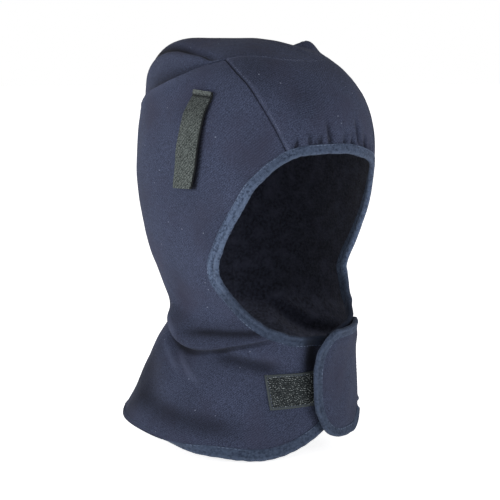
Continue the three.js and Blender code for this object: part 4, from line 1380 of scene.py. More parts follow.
def hem_flare(turn, level):
    """How far the right half's hem stands out towards the back."""
    near_hem = ease(HEM_FLARE.reach, 0, cut_level(turn) - level)
    return HEM_FLARE.out * ease(*HEM_FLARE.turns, turn) * near_hem**2


def side_rise(half, turn, level, share, outer_gap):
    """Folds of a side panel: how far they stand out and slide down, and the lift of the left half."""
    folds, slide = neck_roll(turn, level)
    folds = folds + line_folds(turn, level) + seam_ridge(outer_gap)
    sink = along_back_seam("sink") * ease(1 - SIDE_SINK, 1, share)
    if half is RIGHT:
        return folds - sink + hem_flare(turn, level), slide, 0 * folds
    before_root = ease(ROOT_DIP[1], ROOT_DIP[0], turn)
    return folds * before_root - sink, slide * before_root, left_lift(turn, level)


print("ridge stands out by", round(float(along_back_seam("ridge").max()), 1), "mm")

# %% Tones of a side panel
ROW_FADE = 0.4
# Rows of a side panel that lie along the front seam, and along the back seam
FRONT_STRETCH = ease(FRONT_ROWS + ROW_FADE, FRONT_ROWS - ROW_FADE, SIDE_STOPS)[:, None]
BACK_STRETCH = ease(BACK_ROWS + ROW_FADE, BACK_ROWS - ROW_FADE, SIDE_STOPS)[:, None]
# Painted shade line of the front seam, which is darkest in its upper rows
FRONT_LINE = Values(rows=(5.2, 2.4), shade=(0.65, 0.95), width=0.85)
MOTTLE_HIDDEN = (0.3, 0)


def side_highlight(tone, outer_gap):
    """Painted highlight on the ridges of a side panel."""
    ridge = RIDGE.wear * seam_ridge(outer_gap) * ease(*RIDGE.worn, outer_gap)
    return ridge * BACK_STRETCH + np.clip(tone, 0, 1)


def side_shade(turn, level, plain, tone, inner_gap, outer_gap):
    """Painted shade of a side panel in its folds, under a strap and along its seams, with random mottle, 0
    to 1.
    """
    shade = neck_shade(turn, level) + strap_shade(turn, level) + np.clip(-tone, 0, 1)
    shade = shade + mottle(plain) * ease(*MOTTLE_HIDDEN, -tone)
    line = blend(*FRONT_LINE.shade, ease(*FRONT_LINE.rows, SIDE_STOPS))[:, None]
    shade = shade + line * bell(inner_gap, FRONT_LINE.width) * FRONT_STRETCH
    shade = shade + back_seam_shade(outer_gap, SIDE_STOPS[:, None] / BACK_ROWS) * BACK_STRETCH
    return np.clip(shade, 0, 1)


print("front seam runs down", int((FRONT_STRETCH > 0.5).sum()), "rows")

# %% Cloth of the side panels
RIGHT_CUT = (0.22, 0.33, 0.0505)
LEFT_CUT = (0.22, 0.32, 0.0455)
SIDE_FRONT_GROOVE = (1.3, 1.3)
SIDE_BACK_GROOVE = (0.7, 1.1)
DOME_LENGTH = 141
TURN_LENGTH = 1.5


def side_cloth(name, half):
    """Cloth of a side panel, with what its edges need for the binding."""
    turn, level, share = side_places(half)
    plain = hood(turn, level)
    out = normals_of(plain, -half.sign)
    inner_gap, outer_gap = lengths(plain, 1)
    folds, slide, lift = side_rise(half, turn, level, share, outer_gap)
    plain = plain + out * lift[..., None]
    rise = folds + unevenness(plain)
    rise = rise + pucker(plain, inner_gap) * FRONT_STRETCH + pucker(plain, outer_gap) * BACK_STRETCH
    rise = rise + groove(inner_gap, *SIDE_FRONT_GROOVE) * FRONT_STRETCH
    rise = rise + groove(outer_gap, *SIDE_BACK_GROOVE) * BACK_STRETCH
    outer, inner = moved(plain, out, rise, slide)
    tone = line_folds(turn, level, "tone")
    shade = side_shade(turn, level, plain, tone, inner_gap, outer_gap)
    # wear holds the painted highlights, and crease the painted shade and the mottle
    marks = {"wear": side_highlight(tone, outer_gap), "crease": shade}
    fall = np.minimum(level, 1) * DOME_LENGTH + np.maximum(level - 1, 0) * LEVEL_STEP
    flat = np.stack([turn * TURN_LENGTH, -fall], -1)
    return cloth_piece(name, outer, inner, flat, marks, [TWILL, FLEECE]), outer, out


side_panel_right, right_outer, right_out = side_cloth("side_panel_right_cloth", RIGHT)
side_panel_left, left_outer, left_out = side_cloth("side_panel_left_cloth", LEFT)

# %% [markdown]
# ## Binding tape
#
# Binding is a tape folded over a raw edge and stitched through. A round curve bevel would look like
# piping, so the tape is swept as what it is: a section like a U that holds the cloth's edge, with a lip on
# the cloth, a sunk stitch line and a rolled rim. The section is carried along the edge on a frame made
# from the edge's direction and the cloth's way out, and it wavers a little, as sewn tape does.

# %% Edges as runs of stops
def at_stops(values, run, stops):
    """Vectors at stops along a run."""
    return np.stack([np.interp(stops, run, values[:, axis]) for axis in range(3)], -1)


def resampled(points, vectors, step):
    """Even stops along a run of points, with the vectors that go with them."""
    run = run_of(points)
    stops = np.linspace(0, run[-1], max(int(run[-1] / step), 2))
    return at_stops(points, run, stops), [at_stops(values, run, stops) for values in vectors], stops


def softened(values, times):
    """A run of vectors with its kinks smoothed away, its two ends kept."""
    for _ in range(times):
        middle = (values[:-2] + 2 * values[1:-1] + values[2:]) / 4
        values = np.concatenate([values[:1], middle, values[-1:]])
    return values


def column_edge(outer, out, column, within, rows):
    """Points, ways out and ways off the cloth along a column of a grid."""
    return outer[rows, column], out[rows, column], outer[rows, column] - outer[rows, within]


def row_edge(outer, out, row, within, columns):
    """The same along a row of a grid."""
    return outer[row, columns], out[row, columns], outer[row, columns] - outer[within, columns]


def joined(edges):
    """Several edges as one run, each entry in order."""
    return [np.concatenate(parts) for parts in zip(*edges)]


def turned(edge):
    """An edge from its end to its start."""
    return [part[::-1] for part in edge]


print("edge helpers ready")

# %% Path of a tape along an edge
EDGE_PATH = {"step": 1.3, "point_rounds": 6, "way_rounds": 12}


def tape_frames(points, out, away):
    """Way off the cloth and way out along an edge, square to each other and to the edge."""
    along = unit(np.gradient(points, axis=0))
    side = unit(np.cross(along, out))
    side *= np.sign(np.einsum("ij,ij->i", side, away))[:, None]
    square_out = unit(np.cross(side, along))
    square_out *= np.sign(np.einsum("ij,ij->i", square_out, out))[:, None]
    return side, square_out


def tape_path(edges, step, point_rounds, way_rounds):
    """Stops of a tape along edges that follow each other: points, ways off, ways out and lengths."""
    edge_points, *edge_ways = joined(edges)
    points, (out, away), stops = resampled(edge_points, edge_ways, step)
    points = softened(points, point_rounds)
    side, out = tape_frames(points, softened(out, way_rounds), softened(away, way_rounds))
    return points, side, out, stops


print("a tape has a stop every", EDGE_PATH["step"], "mm")

# %% Section of the tape, swept along an edge
# Section on the outer side: its reach off the cloth in mm and in shares of the width, its height over the
# cloth, how much of a cheek's rolled rim it takes, how much painted shade it takes, and how worn it is
TAPE_SECTION = table(
    "reach share height roll groove wear",
    (-1.1, 0, 0.05, 0, 0.6, 0), (-1.35, 0, 0.3, 0, 0.3, 0.2), (-1.15, 0, 0.58, 0, 0, 0.4),
    (-0.6, 0, 0.4, 0, 0.35, 0), (0, 0, 0.62, 0, 0.1, 0.1), (1.3, 0, 0.72, 0, 0, 0.1),
    (0, 0.36, 0.78, 0, 0, 0.1), (0, 0.47, 0.72, -0.45, 0.3, 0), (0, 0.58, 0.8, 0.1, 0.1, 0.1),
    (0, 0.72, 0.92, 0.5, 0, 0.5), (0, 0.86, 0.66, 0.5, 0, 0.45), (0, 0.95, 0.05, 0.3, 0, 0.2),
    (0, 0.99, -0.6, 0, 0, 0.1), (0, 1, -1.3, 0, 0, 0),
)
POCKET_SHARE = 0.84
POCKET_GAP = 0.1
POCKET_TONES = {"groove": [1, 1], "wear": [0, 0]}


def tape_section(width, roll):
    """Reach and height of the section's points at one stop, from the outer lip round to the pocket."""
    reach = TAPE_SECTION["reach"] + TAPE_SECTION["share"] * width
    height = TAPE_SECTION["height"] + TAPE_SECTION["roll"] * roll
    under = -WALL - TAPE_SECTION["height"]
    pocket = POCKET_SHARE * width
    across = np.concatenate([reach, reach[-2::-1], [pocket, pocket]])
    up = np.concatenate([height, under[-2::-1], [POCKET_GAP - WALL, -POCKET_GAP]])
    return across, up


def section_tones(column):
    """How much painted shade and wear the section takes on its outer side, its inner side and in its pocket.
    """
    values = TAPE_SECTION[column]
    return np.concatenate([values, values[-2::-1], POCKET_TONES[column]])[None, :]


def tape_piece(name, path, widths, rolls, shade):
    """Tape with its section at each stop of a path and its ends closed, with painted shade where it is
    given.
    """
    points, side, out, stops = path
    sections = [tape_section(width, roll) for width, roll in zip(widths, rolls)]
    across = np.array([section[0] for section in sections])
    up = np.array([section[1] for section in sections])
    body = points[:, None] + side[:, None] * across[..., None] + out[:, None] * up[..., None]
    count, sides = across.shape
    index = np.arange(count * sides).reshape(count, sides)
    after = np.roll(index, -1, axis=1)
    skin = np.stack([index[:-1], after[:-1], after[1:], index[1:]], -1).reshape(-1, 4).tolist()
    corners_mm = body.reshape(-1, 3)
    faces = facing_out(corners_mm, skin)
    ends = [index[0, ::-1].tolist(), index[-1].tolist()]
    faces = faces + (ends if faces is skin else [end[::-1] for end in ends])
    ring = np.concatenate([[0], np.cumsum(np.hypot(np.diff(across[0]), np.diff(up[0])))])
    flat = np.stack(np.broadcast_arrays(stops[:, None], ring[None, :]), -1).reshape(-1, 2)
    shaded = np.broadcast_to(shade, count)[:, None]
    dark = np.maximum(section_tones("groove"), shaded)
    worn = section_tones("wear") * (1 - shaded)
    values = {"groove": dark.ravel(), "wear": worn.ravel()}
    return link_mesh(name, corners_mm, faces, [TAPE], np.zeros(len(faces), np.int32), flat, values)


print("tape section has", section_tones("wear").size, "points")

# %% Binding of the face opening
# Width of the tape past the cloth's edge, and how much its rim is rolled, by the depth below the crown
FACE_TAPE = table(
    "down width roll",
    (75, 6.4, 0.1), (115, 7, 0.2), (150, 7.3, 0.6), (178, 9, 1), (192, 8.8, 1), (208, 7.6, 0.8),
    (245, 7, 0.5),
)
FACE_WIDTH_WAVERS = [(0.35, 15, 31), (0.2, 6, 33)]
FACE_ROLL_WAVER = (0.4, 22, 32)
# Painted shadow where the tape runs in under the flap
SHADOW_UNDER_FLAP = Values(turns=(-17, -6), down=(210, 225))
# Painted shade of the tape at the brow and under the jaw, and the depths over which it comes
FACE_SHADES = [(0.42, (130, 95)), (0.66, (188, 208))]

face_rows = slice(FACE_START, None)
right_cheek = turned(column_edge(right_outer, right_out, 0, 3, face_rows))
front_edge = row_edge(front_outer, front_out, -1, -3, slice(None))
left_cheek = column_edge(left_outer, left_out, 0, 3, face_rows)
face_edges = [[part[:-1] for part in right_cheek], front_edge, [part[1:] for part in left_cheek]]
face_path = tape_path(face_edges, **EDGE_PATH)
face_points, face_side, face_out, face_stops = face_path
face_down = -face_points[:, 2]
face_widths = smooth(FACE_TAPE, "width", face_down)
for wave in FACE_WIDTH_WAVERS:
    face_widths += waver(face_points, *wave)
face_rolls = smooth(FACE_TAPE, "roll", face_down) * (1 + waver(face_points, *FACE_ROLL_WAVER))
face_turn = np.degrees(np.arctan2(face_points[:, 0], -face_points[:, 1]))
face_shade = ease(*SHADOW_UNDER_FLAP.turns, face_turn) * ease(*SHADOW_UNDER_FLAP.down, face_down)
for tone, depths in FACE_SHADES:
    face_shade = np.maximum(face_shade, tone * ease(*depths, face_down))
face_binding = tape_piece("face_binding_tape", face_path, face_widths, face_rolls, face_shade)
print("face binding is", round(float(face_stops[-1])), "mm long")

# %% Binding of the hem
# shade is painted shade over the whole hem tape
HEM_TAPE = Values(width=8, roll=0.35, shade=0.54)
HEM_WIDTH_WAVER = (0.3, 15, 41)
HEM_ROLL_WAVER = (0.2, 22, 43)
# Scallops of the free hem at the front: how much the tape's width and its lean change
SCALLOP = Values(begins=(-52, -38), until=(8, -8), width=0.7, lean=0.12, length=9, seed=42)


def tilted(side, out, angle):
    """A frame leant inwards by an angle at each stop."""
    cosine = np.cos(angle)[:, None]
    sine = np.sin(angle)[:, None]
    return side * cosine - out * sine, out * cosine + side * sine


hem_rows = slice(HEM_START, None)
right_hem = turned(column_edge(right_outer, right_out, -1, -4, hem_rows))
back_hem = row_edge(crown_outer, crown_out, -1, -3, slice(1, -1))
left_hem = column_edge(left_outer, left_out, -1, -4, hem_rows)
hem_points, hem_side, hem_out, hem_stops = tape_path([right_hem, back_hem, left_hem], **EDGE_PATH)
hem_turn = np.degrees(np.arctan2(hem_points[:, 0], SECTIONS["centre_y"][-1] - hem_points[:, 1]))
tuck = TUCK.angle * tucked(hem_turn)
scallop = between(SCALLOP.begins, SCALLOP.until, hem_turn)
scallop_wave = ripple(hem_points, SCALLOP.length, SCALLOP.seed)
hem_points = hem_points - hem_out * (TUCK.inwards * tucked(hem_turn))[:, None]
hem_side, hem_out = tilted(hem_side, hem_out, tuck + SCALLOP.lean * scallop * scallop_wave)
hem_widths = HEM_TAPE.width + waver(hem_points, *HEM_WIDTH_WAVER)
hem_widths += SCALLOP.width * scallop * scallop_wave
hem_rolls = HEM_TAPE.roll + waver(hem_points, *HEM_ROLL_WAVER)
hem_path = (hem_points, hem_side, hem_out, hem_stops)
hem_binding = tape_piece("hem_binding_tape", hem_path, hem_widths, hem_rolls, HEM_TAPE.shade)
print("hem binding is", round(float(hem_stops[-1])), "mm long")

# %% [markdown]
# ## The closure flap
#
# The flap is a rounded tab sewn to the left half. It lies over the middle of the neck, unfastened, with
# its tip a little away from the cloth below, and its free edges are bound. Its rows run from the tip to
# the root, which gives the round corners without trimming.

# %% Cloth of the flap
FLAP_ROWS = table(
    "row tip_turn tip_level root_turn root_level",
    (0, 5, 2.385, 39, 2.4), (1, 1.5, 2.435, 39, 2.48), (2, -1.2, 2.53, 39, 2.57), (3, -2, 2.65, 39, 2.68),
    (4, -1.7, 2.78, 39, 2.79), (5, -0.8, 2.9, 39, 2.89), (6, 0.8, 3.01, 38.5, 2.97),
    (7, 3.3, 3.11, 36, 3.07), (8, 7.5, 3.185, 31.5, 3.155), (9, 13, 3.225, 25, 3.215),
)
FLAP_GRID = (73, 57)
FLAP_CROWDING = 0.5
FLAP_CUT = (0.062, 0.076, 0.0044)
TIP_LIFT = 3.6
FLAP_PUFF = Values(height=0.6, over=(0, 9))
FLAP_WAVER = (0.35, 20, 51)
FLAP_WAVES_OVER = (0, 5)
# Painted shade over the whole flap
FLAP_SHADE = 0.16


def flap_lift(turn, level):
    """How far the flap's outer face stands off the hood's surface."""
    return front_lift(level) + ROOT_PROUD + TIP_LIFT * ease(FLAP_ROOT_TURN, 0, turn)


flap_rows = np.linspace(0, FLAP_ROWS["row"][-1], FLAP_GRID[0])[:, None]
flap_share = crowded(FLAP_GRID[1], FLAP_CROWDING)[None, :]
tip_turn, tip_level, root_turn, root_level = (
    smooth(FLAP_ROWS, column, flap_rows) for column in list(FLAP_ROWS)[1:]
)
flap_turn = blend(tip_turn, root_turn, flap_share)
flap_level = blend(tip_level, root_level, flap_share)
flap_plain = hood(flap_turn, flap_level)
flap_out = normals_of(flap_plain, -1)
flap_plain = flap_plain + flap_out * flap_lift(flap_turn, flap_level)[..., None]
flap_gap = edge_gap(flap_plain)
flap_rise = FLAP_PUFF.height * ease(*FLAP_PUFF.over, flap_gap)
flap_rise += waver(flap_plain, *FLAP_WAVER) * ease(*FLAP_WAVES_OVER, flap_gap)
flap_outer = flap_plain + flap_out * flap_rise[..., None]
flap_inner = flap_plain - flap_out * WALL
flap_flat = np.stack([flap_turn * TURN_LENGTH, -flap_level * LEVEL_STEP], -1)
flap_marks = {"crease": np.full(flap_turn.shape, FLAP_SHADE)}
chin_flap = cloth_piece("chin_flap_cloth", flap_outer, flap_inner, flap_flat, flap_marks, [TWILL, FLEECE])

# %% Binding of the flap
# shade is painted shade over the whole flap tape
FLAP_TAPE = Values(width=6, roll=0.3, shade=0.6, root_from=7.2)
FLAP_PATH = {"step": 1.0, "point_rounds": 8, "way_rounds": 14}
FLAP_WIDTH_WAVER = (0.45, 11, 61)
FLAP_ROLL_WAVER = (0.25, 14, 62)

bound_from = int(round(FLAP_TAPE.root_from / FLAP_ROWS["row"][-1] * (FLAP_GRID[0] - 1)))
flap_edges = [
    turned(row_edge(flap_plain, flap_out, 0, 2, slice(None))),
    column_edge(flap_plain, flap_out, 0, 2, slice(1, None)),
    row_edge(flap_plain, flap_out, -1, -3, slice(1, None)),
    turned(column_edge(flap_plain, flap_out, -1, -3, slice(bound_from, -1))),
]
flap_path = tape_path(flap_edges, **FLAP_PATH)
flap_points, flap_side, flap_ways, flap_stops = flap_path
flap_widths = FLAP_TAPE.width + waver(flap_points, *FLAP_WIDTH_WAVER)
flap_rolls = FLAP_TAPE.roll + waver(flap_points, *FLAP_ROLL_WAVER)
flap_binding = tape_piece("flap_binding_tape", flap_path, flap_widths, flap_rolls, FLAP_TAPE.shade)
print("flap binding is", round(float(flap_stops[-1])), "mm long")

# %% [markdown]
# ## Hook and loop patches
#
# The closure is a short piece of hook tape on the right half and its loop mate behind the flap. The
# ground of each is a thin sheet that lies on the cloth. The hooks stand on it in staggered rows. Hundreds
# of hooks are a job for Geometry Nodes: one small arch of wire is bent once, copied to every place, turned
# square to the sheet, made real and given its finish.

# %% Grounds of the two patches
PATCH_THICK = 1.3
PATCH_GAP = 0.15
PATCH_GRID = (33, 49)
HOOK_CORNERS = table("from_turn to_turn level", (-29.8, 4, 2.718), (-25.8, 4, 2.995))
LOOP_CORNERS = table("from_turn to_turn level", (3, 24, 2.7), (3, 24, 2.95))
SELVEDGE = 2.2
SELVEDGE_PLAIN = 0.6  # share of the selvedge before it fades into the ground
HOOK_CUT = (0.046, 0.028, 0.00118)
LOOP_CUT = (0.031, 0.026, 0.00072)


def patch_places(corners):
    """Turns and levels over a patch, from its two rows of corners."""
    down = np.linspace(0, 1, PATCH_GRID[0])[:, None]
    across = np.linspace(0, 1, PATCH_GRID[1])[None, :]
    row = {key: blend(values[0], values[1], down) for key, values in corners.items()}
    return blend(row["from_turn"], row["to_turn"], across), row["level"] + 0 * across


def patch_piece(name, face, back, ground):
    """Ground of a patch, with a plain strip along its edges."""
    flat = np.stack([lengths(face, 1)[0], -lengths(face, 0)[0]], -1)
    marks = {"wear": ease(SELVEDGE, SELVEDGE_PLAIN * SELVEDGE, edge_gap(face))}
    return cloth_piece(name, face, back, flat, marks, [ground, ground])


hook_turn, hook_level = patch_places(HOOK_CORNERS)
hook_plain = hood(hook_turn, hook_level)
hook_out = normals_of(hook_plain, -1)
hook_cloth, _ = neck_roll(hook_turn, hook_level)
hook_cloth = hook_cloth + line_folds(hook_turn, hook_level) + unevenness(hook_plain)
hook_back = hook_plain + hook_out * (hook_cloth + PATCH_GAP)[..., None]
hook_face = hook_back + hook_out * PATCH_THICK
hook_patch = patch_piece("hook_patch_ground", hook_face, hook_back, HOOK_GROUND)

loop_turn, loop_level = patch_places(LOOP_CORNERS)
loop_plain = hood(loop_turn, loop_level)
loop_out = normals_of(loop_plain, -1)
loop_back = loop_plain + loop_out * (flap_lift(loop_turn, loop_level) - WALL - PATCH_GAP)[..., None]
loop_face = loop_back - loop_out * PATCH_THICK
loop_patch = patch_piece("loop_patch_ground", loop_face, loop_back, LOOP_GROUND)

# %% Geometry Nodes tree that plants one shape at many places
SOCKET_KINDS = {"Seed": "NodeSocketInt", "Finish": "NodeSocketMaterial"}


def start_tree(name, sizes):
    """New tree with a geometry input, named sizes, a seed and a finish."""
    tree = bpy.data.node_groups.new(name, "GeometryNodeTree")
    tree.interface.new_socket("Places", in_out="INPUT", socket_type="NodeSocketGeometry")
    for label in (*sizes, *SOCKET_KINDS):
        kind = SOCKET_KINDS.get(label, "NodeSocketFloat")
        tree.interface.new_socket(label, in_out="INPUT", socket_type=kind)
    tree.interface.new_socket("Pieces", in_out="OUTPUT", socket_type="NodeSocketGeometry")
    return tree, node(tree, "NodeGroupInput").outputs


def painted_vector(tree, name):
    """Vector painted on the places."""
    painted = node(tree, "GeometryNodeInputNamedAttribute", {"Name": name}, data_type="FLOAT_VECTOR")
    return painted.outputs["Attribute"]


def plant(tree, inputs, shape):
    """Ends a tree: copies a shape to each place, varies its size, makes it real and gives it its finish."""
    axes = {"Primary Axis": painted_vector(tree, "out"), "Secondary Axis": painted_vector(tree, "along")}
    turn = node(tree, "FunctionNodeAxesToRotation", axes, primary_axis="Z", secondary_axis="X").outputs[0]
    least = sums(tree, "SUBTRACT", 1.0, inputs["Variation"])
    most = sums(tree, "ADD", 1.0, inputs["Variation"])
    chance = {2: least, 3: most, "Seed": inputs["Seed"]}
    size = node(tree, "FunctionNodeRandomValue", chance, data_type="FLOAT").outputs[1]
    copies = {"Points": inputs["Places"], "Instance": shape, "Rotation": turn, "Scale": size}
    planted = node(tree, "GeometryNodeInstanceOnPoints", copies).outputs[0]
    real = node(tree, "GeometryNodeRealizeInstances", {"Geometry": planted}).outputs[0]
    soft = node(tree, "GeometryNodeSetShadeSmooth", {"Geometry": real}).outputs[0]
    finish = {"Geometry": soft, "Material": inputs["Finish"]}
    dressed = node(tree, "GeometryNodeSetMaterial", finish).outputs[0]
    feed(tree, node(tree, "NodeGroupOutput").inputs["Pieces"], dressed)
    return tree


print("tree helpers ready")

# %% From places and a tree to a plain mesh
def grown(name, places, tree, values):
    """Plain mesh object grown by a tree from places: points, ways along and ways out."""
    points, along, out = places
    mesh = bpy.data.meshes.new(name + "_places")
    mesh.from_pydata((points * MM).tolist(), [], [])
    for key, vectors in (("along", along), ("out", out)):
        mesh.attributes.new(key, "FLOAT_VECTOR", "POINT").data.foreach_set("vector", vectors.ravel())
    made = bpy.data.objects.new(name, mesh)
    bpy.context.scene.collection.objects.link(made)
    modifier = made.modifiers.new("planting", "NODES")
    modifier.node_group = tree
    for socket in tree.interface.items_tree:
        if socket.name in values:
            modifier[socket.identifier] = values[socket.name]
    graph = bpy.context.evaluated_depsgraph_get()
    plain_mesh = bpy.data.meshes.new_from_object(made.evaluated_get(graph))
    made.modifiers.clear()
    made.data = plain_mesh
    plain_mesh.name = name
    bpy.data.meshes.remove(mesh)
    print(name, "stands at", len(points), "places with", len(plain_mesh.polygons), "faces")
    return made


print("planting helper ready")

# %% Hooks and loops
ARCH_STEPS = 7
WIRE_SIDES = 4
ROW_STEP = 0.87  # height of a triangle with sides of 1, so that staggered places lie evenly
STRAY = Values(share=0.28, seed=81)
HOOK_ROWS = {"pitch": 1.8, "margin": 1.9}
HOOK_SIZES = {"Radius": 0.00042, "Wire": 0.00021, "Sweep": math.radians(230), "Variation": 0.35, "Seed": 3}
LOOP_ROWS = {"pitch": 1.7, "margin": 1.2}
LOOP_SIZES = {"Radius": 0.0008, "Wire": 0.00018, "Sweep": math.radians(300), "Variation": 0.35, "Seed": 4}


def wire_tree():
    """Tree of small arches of wire."""
    tree, inputs = start_tree("arches_of_wire", ("Radius", "Wire", "Sweep", "Variation"))
    arc = {"Resolution": ARCH_STEPS, "Radius": inputs["Radius"], "Sweep Angle": inputs["Sweep"]}
    arch = node(tree, "GeometryNodeCurveArc", arc).outputs["Curve"]
    stood = {"Geometry": arch, "Rotation": (math.radians(90), 0, 0)}
    upright = node(tree, "GeometryNodeTransform", stood).outputs[0]
    round_wire = {"Resolution": WIRE_SIDES, "Radius": inputs["Wire"]}
    wire = node(tree, "GeometryNodeCurvePrimitiveCircle", round_wire).outputs[0]
    swept = {"Curve": upright, "Profile Curve": wire, "Fill Caps": True}
    return plant(tree, inputs, node(tree, "GeometryNodeCurveToMesh", swept).outputs[0])


def staggered(face, out, pitch, margin):
    """Places in staggered rows over a patch, a little astray and clear of its plain strip."""
    width = lengths(face, 1)[0][:, -1].mean()
    height = lengths(face, 0)[0][-1].mean()
    rows = int((height - 2 * margin) / (pitch * ROW_STEP)) + 1
    columns = int((width - 2 * margin) / pitch) + 1
    row, column = np.indices((rows, columns)).reshape(2, -1)
    down = (margin + row * pitch * ROW_STEP) / height
    across = (margin + (column + 0.5 * (row % 2)) * pitch) / width
    places = np.stack([down, across], -1)[across * width < width - margin]
    source = np.random.default_rng(STRAY.seed)
    astray = source.uniform(-STRAY.share, STRAY.share, (len(places), 2)) * pitch / (height, width)
    where = (places + astray) * (np.array(face.shape[:2]) - 1)
    low = np.minimum(where.astype(int), np.array(face.shape[:2]) - 2)
    row, column = low.T
    part = where - low
    upper = blend(face[row, column], face[row, column + 1], part[:, 1:])
    lower = blend(face[row + 1, column], face[row + 1, column + 1], part[:, 1:])
    along = unit(face[row, column + 1] - face[row, column])
    return blend(upper, lower, part[:, :1]), along, out[row, column]


WIRE_TREE = wire_tree()
hook_places = staggered(hook_face, hook_out, **HOOK_ROWS)
hooks = grown("hook_patch_hooks", hook_places, WIRE_TREE, {**HOOK_SIZES, "Finish": HOOKS})
loop_places = staggered(loop_face, -loop_out, **LOOP_ROWS)
loops = grown("loop_patch_loops", loop_places, WIRE_TREE, {**LOOP_SIZES, "Finish": LOOPS})

# %% [markdown]
# ## Hat straps
#
# A short strap of coarse webbing hangs on each side and holds the liner to the hard hat. Its upper end is
# turned over and sewn to the side panel, and its lower end is cut straight and stands a little away from
# the cloth. Only the right one shows from the front right, and the left one is its mirror copy.

# %% Straps
STRAP_SKEW = Values(rise=0.013, levels=(0.8, 0.66))
STRAP_THICK = 1.6
STRAP_GRID = (71, 29)
STRAP_CROWDING = 0.6
STRAP_CAMBER = 0.35
STRAP_WAVER = (0.12, 9, 71)
STRAP_CUT = (0.0205, 0.088, 0.0017)
TURNED_END = Values(length=3.4, rise=1.0, step=0.4, stitch_at=2.2, wear=0.5, worn_step=0.5)
TURNED_GROOVE = (0.5, 0.6)
# Painted shade: a dark line below the turned end, shade that fades down from it, and a dark front edge
STRAP_LINE_SHADE = Values(at=0.9, width=0.9, tone=0.95)
STRAP_TOP_SHADE = Values(fades=(38, 6), starts=(TURNED_END.length, 5), tone=0.34)
STRAP_EDGE_SHADE = (0.9, 0.99)


def on_turned_end(fall, step):
    """1 on a strap's turned end and 0 below it, with a step of some length between them."""
    return ease(TURNED_END.length + step, TURNED_END.length - step, fall)


def strap_points(sign):
    """Outer points, ways out, lengths from the sewn end, and shares across a strap."""
    level = np.linspace(STRAP_LINE["level"][0], STRAP_LINE["level"][-1], STRAP_GRID[0])[:, None]
    turn, half_turn, _ = strap_middle(level)
    across = 2 * crowded(STRAP_GRID[1], STRAP_CROWDING)[None, :] - 1
    skew = STRAP_SKEW.rise * ease(*STRAP_SKEW.levels, level)
    plain = hood(sign * turn + half_turn * across, level - sign * skew * across)
    out = normals_of(plain, -1)
    fall, _ = lengths(plain, 0)
    lift = LAY_GAP + STRAP_THICK + smooth(STRAP_LINE, "lift", level)
    band = TURNED_END.rise * on_turned_end(fall, TURNED_END.step)
    stitch_line = groove(fall - TURNED_END.stitch_at, *TURNED_GROOVE)
    camber = STRAP_CAMBER * (1 - across**4) + waver(plain, *STRAP_WAVER)
    return plain + out * (lift + band + stitch_line + camber)[..., None], out, fall, across


def strap_piece(name, sign):
    """Webbing of a strap, paler over its turned end, with painted shade and what its stitches need."""
    outer, out, fall, across = strap_points(sign)
    thick = STRAP_THICK + TURNED_END.rise * on_turned_end(fall, TURNED_END.step)
    inner = outer - out * thick[..., None]
    wear = TURNED_END.wear * on_turned_end(fall, TURNED_END.worn_step) + 0 * across
    below_turn = fall - TURNED_END.length - STRAP_LINE_SHADE.at
    top_shade = STRAP_TOP_SHADE.tone * between(STRAP_TOP_SHADE.fades, STRAP_TOP_SHADE.starts, fall)
    dark = STRAP_LINE_SHADE.tone * bell(below_turn, STRAP_LINE_SHADE.width)
    dark = dark + top_shade + ease(*STRAP_EDGE_SHADE, -sign * across)
    marks = {"wear": wear, "groove": np.clip(dark, 0, 1)}
    flat = np.stack([lengths(outer, 1)[0], -fall], -1)
    return cloth_piece(name, outer, inner, flat, marks, [WEBBING, WEBBING]), outer, out, fall


strap_right, *right_strap_grid = strap_piece("hat_strap_right_webbing", -1)
strap_left, *left_strap_grid = strap_piece("hat_strap_left_webbing", 1)

# %% [markdown]
# ## Stitches
#
# Stitches hold everything together and are what the eye takes for sewn cloth. Each is a short bead of
# thread. Geometry Nodes lays one along the tape edges, the seams, the patches and the turned strap ends,
# with its length along the row and its flat side on the cloth.

# %% Tree of stitches, and rows for it
BEAD = {"Segments": 8, "Rings": 5, "Radius": 0.5}
TAPE_STITCH = {"Length": 0.0026, "Width": 0.00065, "Height": 0.0005, "Variation": 0.12}
SEAM_STITCH = {"Length": 0.0019, "Width": 0.0005, "Height": 0.0004, "Variation": 0.12}
STRAP_STITCH = {"Length": 0.0022, "Width": 0.0006, "Height": 0.0006, "Variation": 0.1}


def stitch_tree():
    """Tree of short beads of thread."""
    tree, inputs = start_tree("row_of_stitches", ("Length", "Width", "Height", "Variation"))
    bead = node(tree, "GeometryNodeMeshUVSphere", BEAD).outputs["Mesh"]
    size = {"X": inputs["Length"], "Y": inputs["Width"], "Z": inputs["Height"]}
    scale = node(tree, "ShaderNodeCombineXYZ", size).outputs[0]
    thread = node(tree, "GeometryNodeTransform", {"Geometry": bead, "Scale": scale}).outputs[0]
    return plant(tree, inputs, thread)


def stitch_row(points, out, pitch, slant=0.0):
    """Even places along a line, with the way along it, turned by a slant in degrees, and the way out."""
    points, (ways,), _ = resampled(points, [out], pitch)
    ways = unit(ways)
    along = unit(np.gradient(points, axis=0))
    angle = math.radians(slant)
    return points, along * math.cos(angle) + np.cross(ways, along) * math.sin(angle), ways


def sewn(name, places, sizes, thread, seed):
    """Stitches at places, with their sizes, their thread and a seed."""
    return grown(name, places, STITCH_TREE, {**sizes, "Finish": thread, "Seed": seed})


STITCH_TREE = stitch_tree()
print("stitch tree has", len(STITCH_TREE.nodes), "nodes")

# %% Stitches of the bindings
TAPE_PITCH = 3.3
STITCH_REACH = -0.6
STITCH_HEIGHT = 0.5


def tape_stitches(name, points, side, out, seed):
    """Row of stitches in the sunk line of a binding."""
    line = points + side * STITCH_REACH + out * STITCH_HEIGHT
    return sewn(name, stitch_row(line, out, TAPE_PITCH), TAPE_STITCH, TAPE_THREAD, seed)


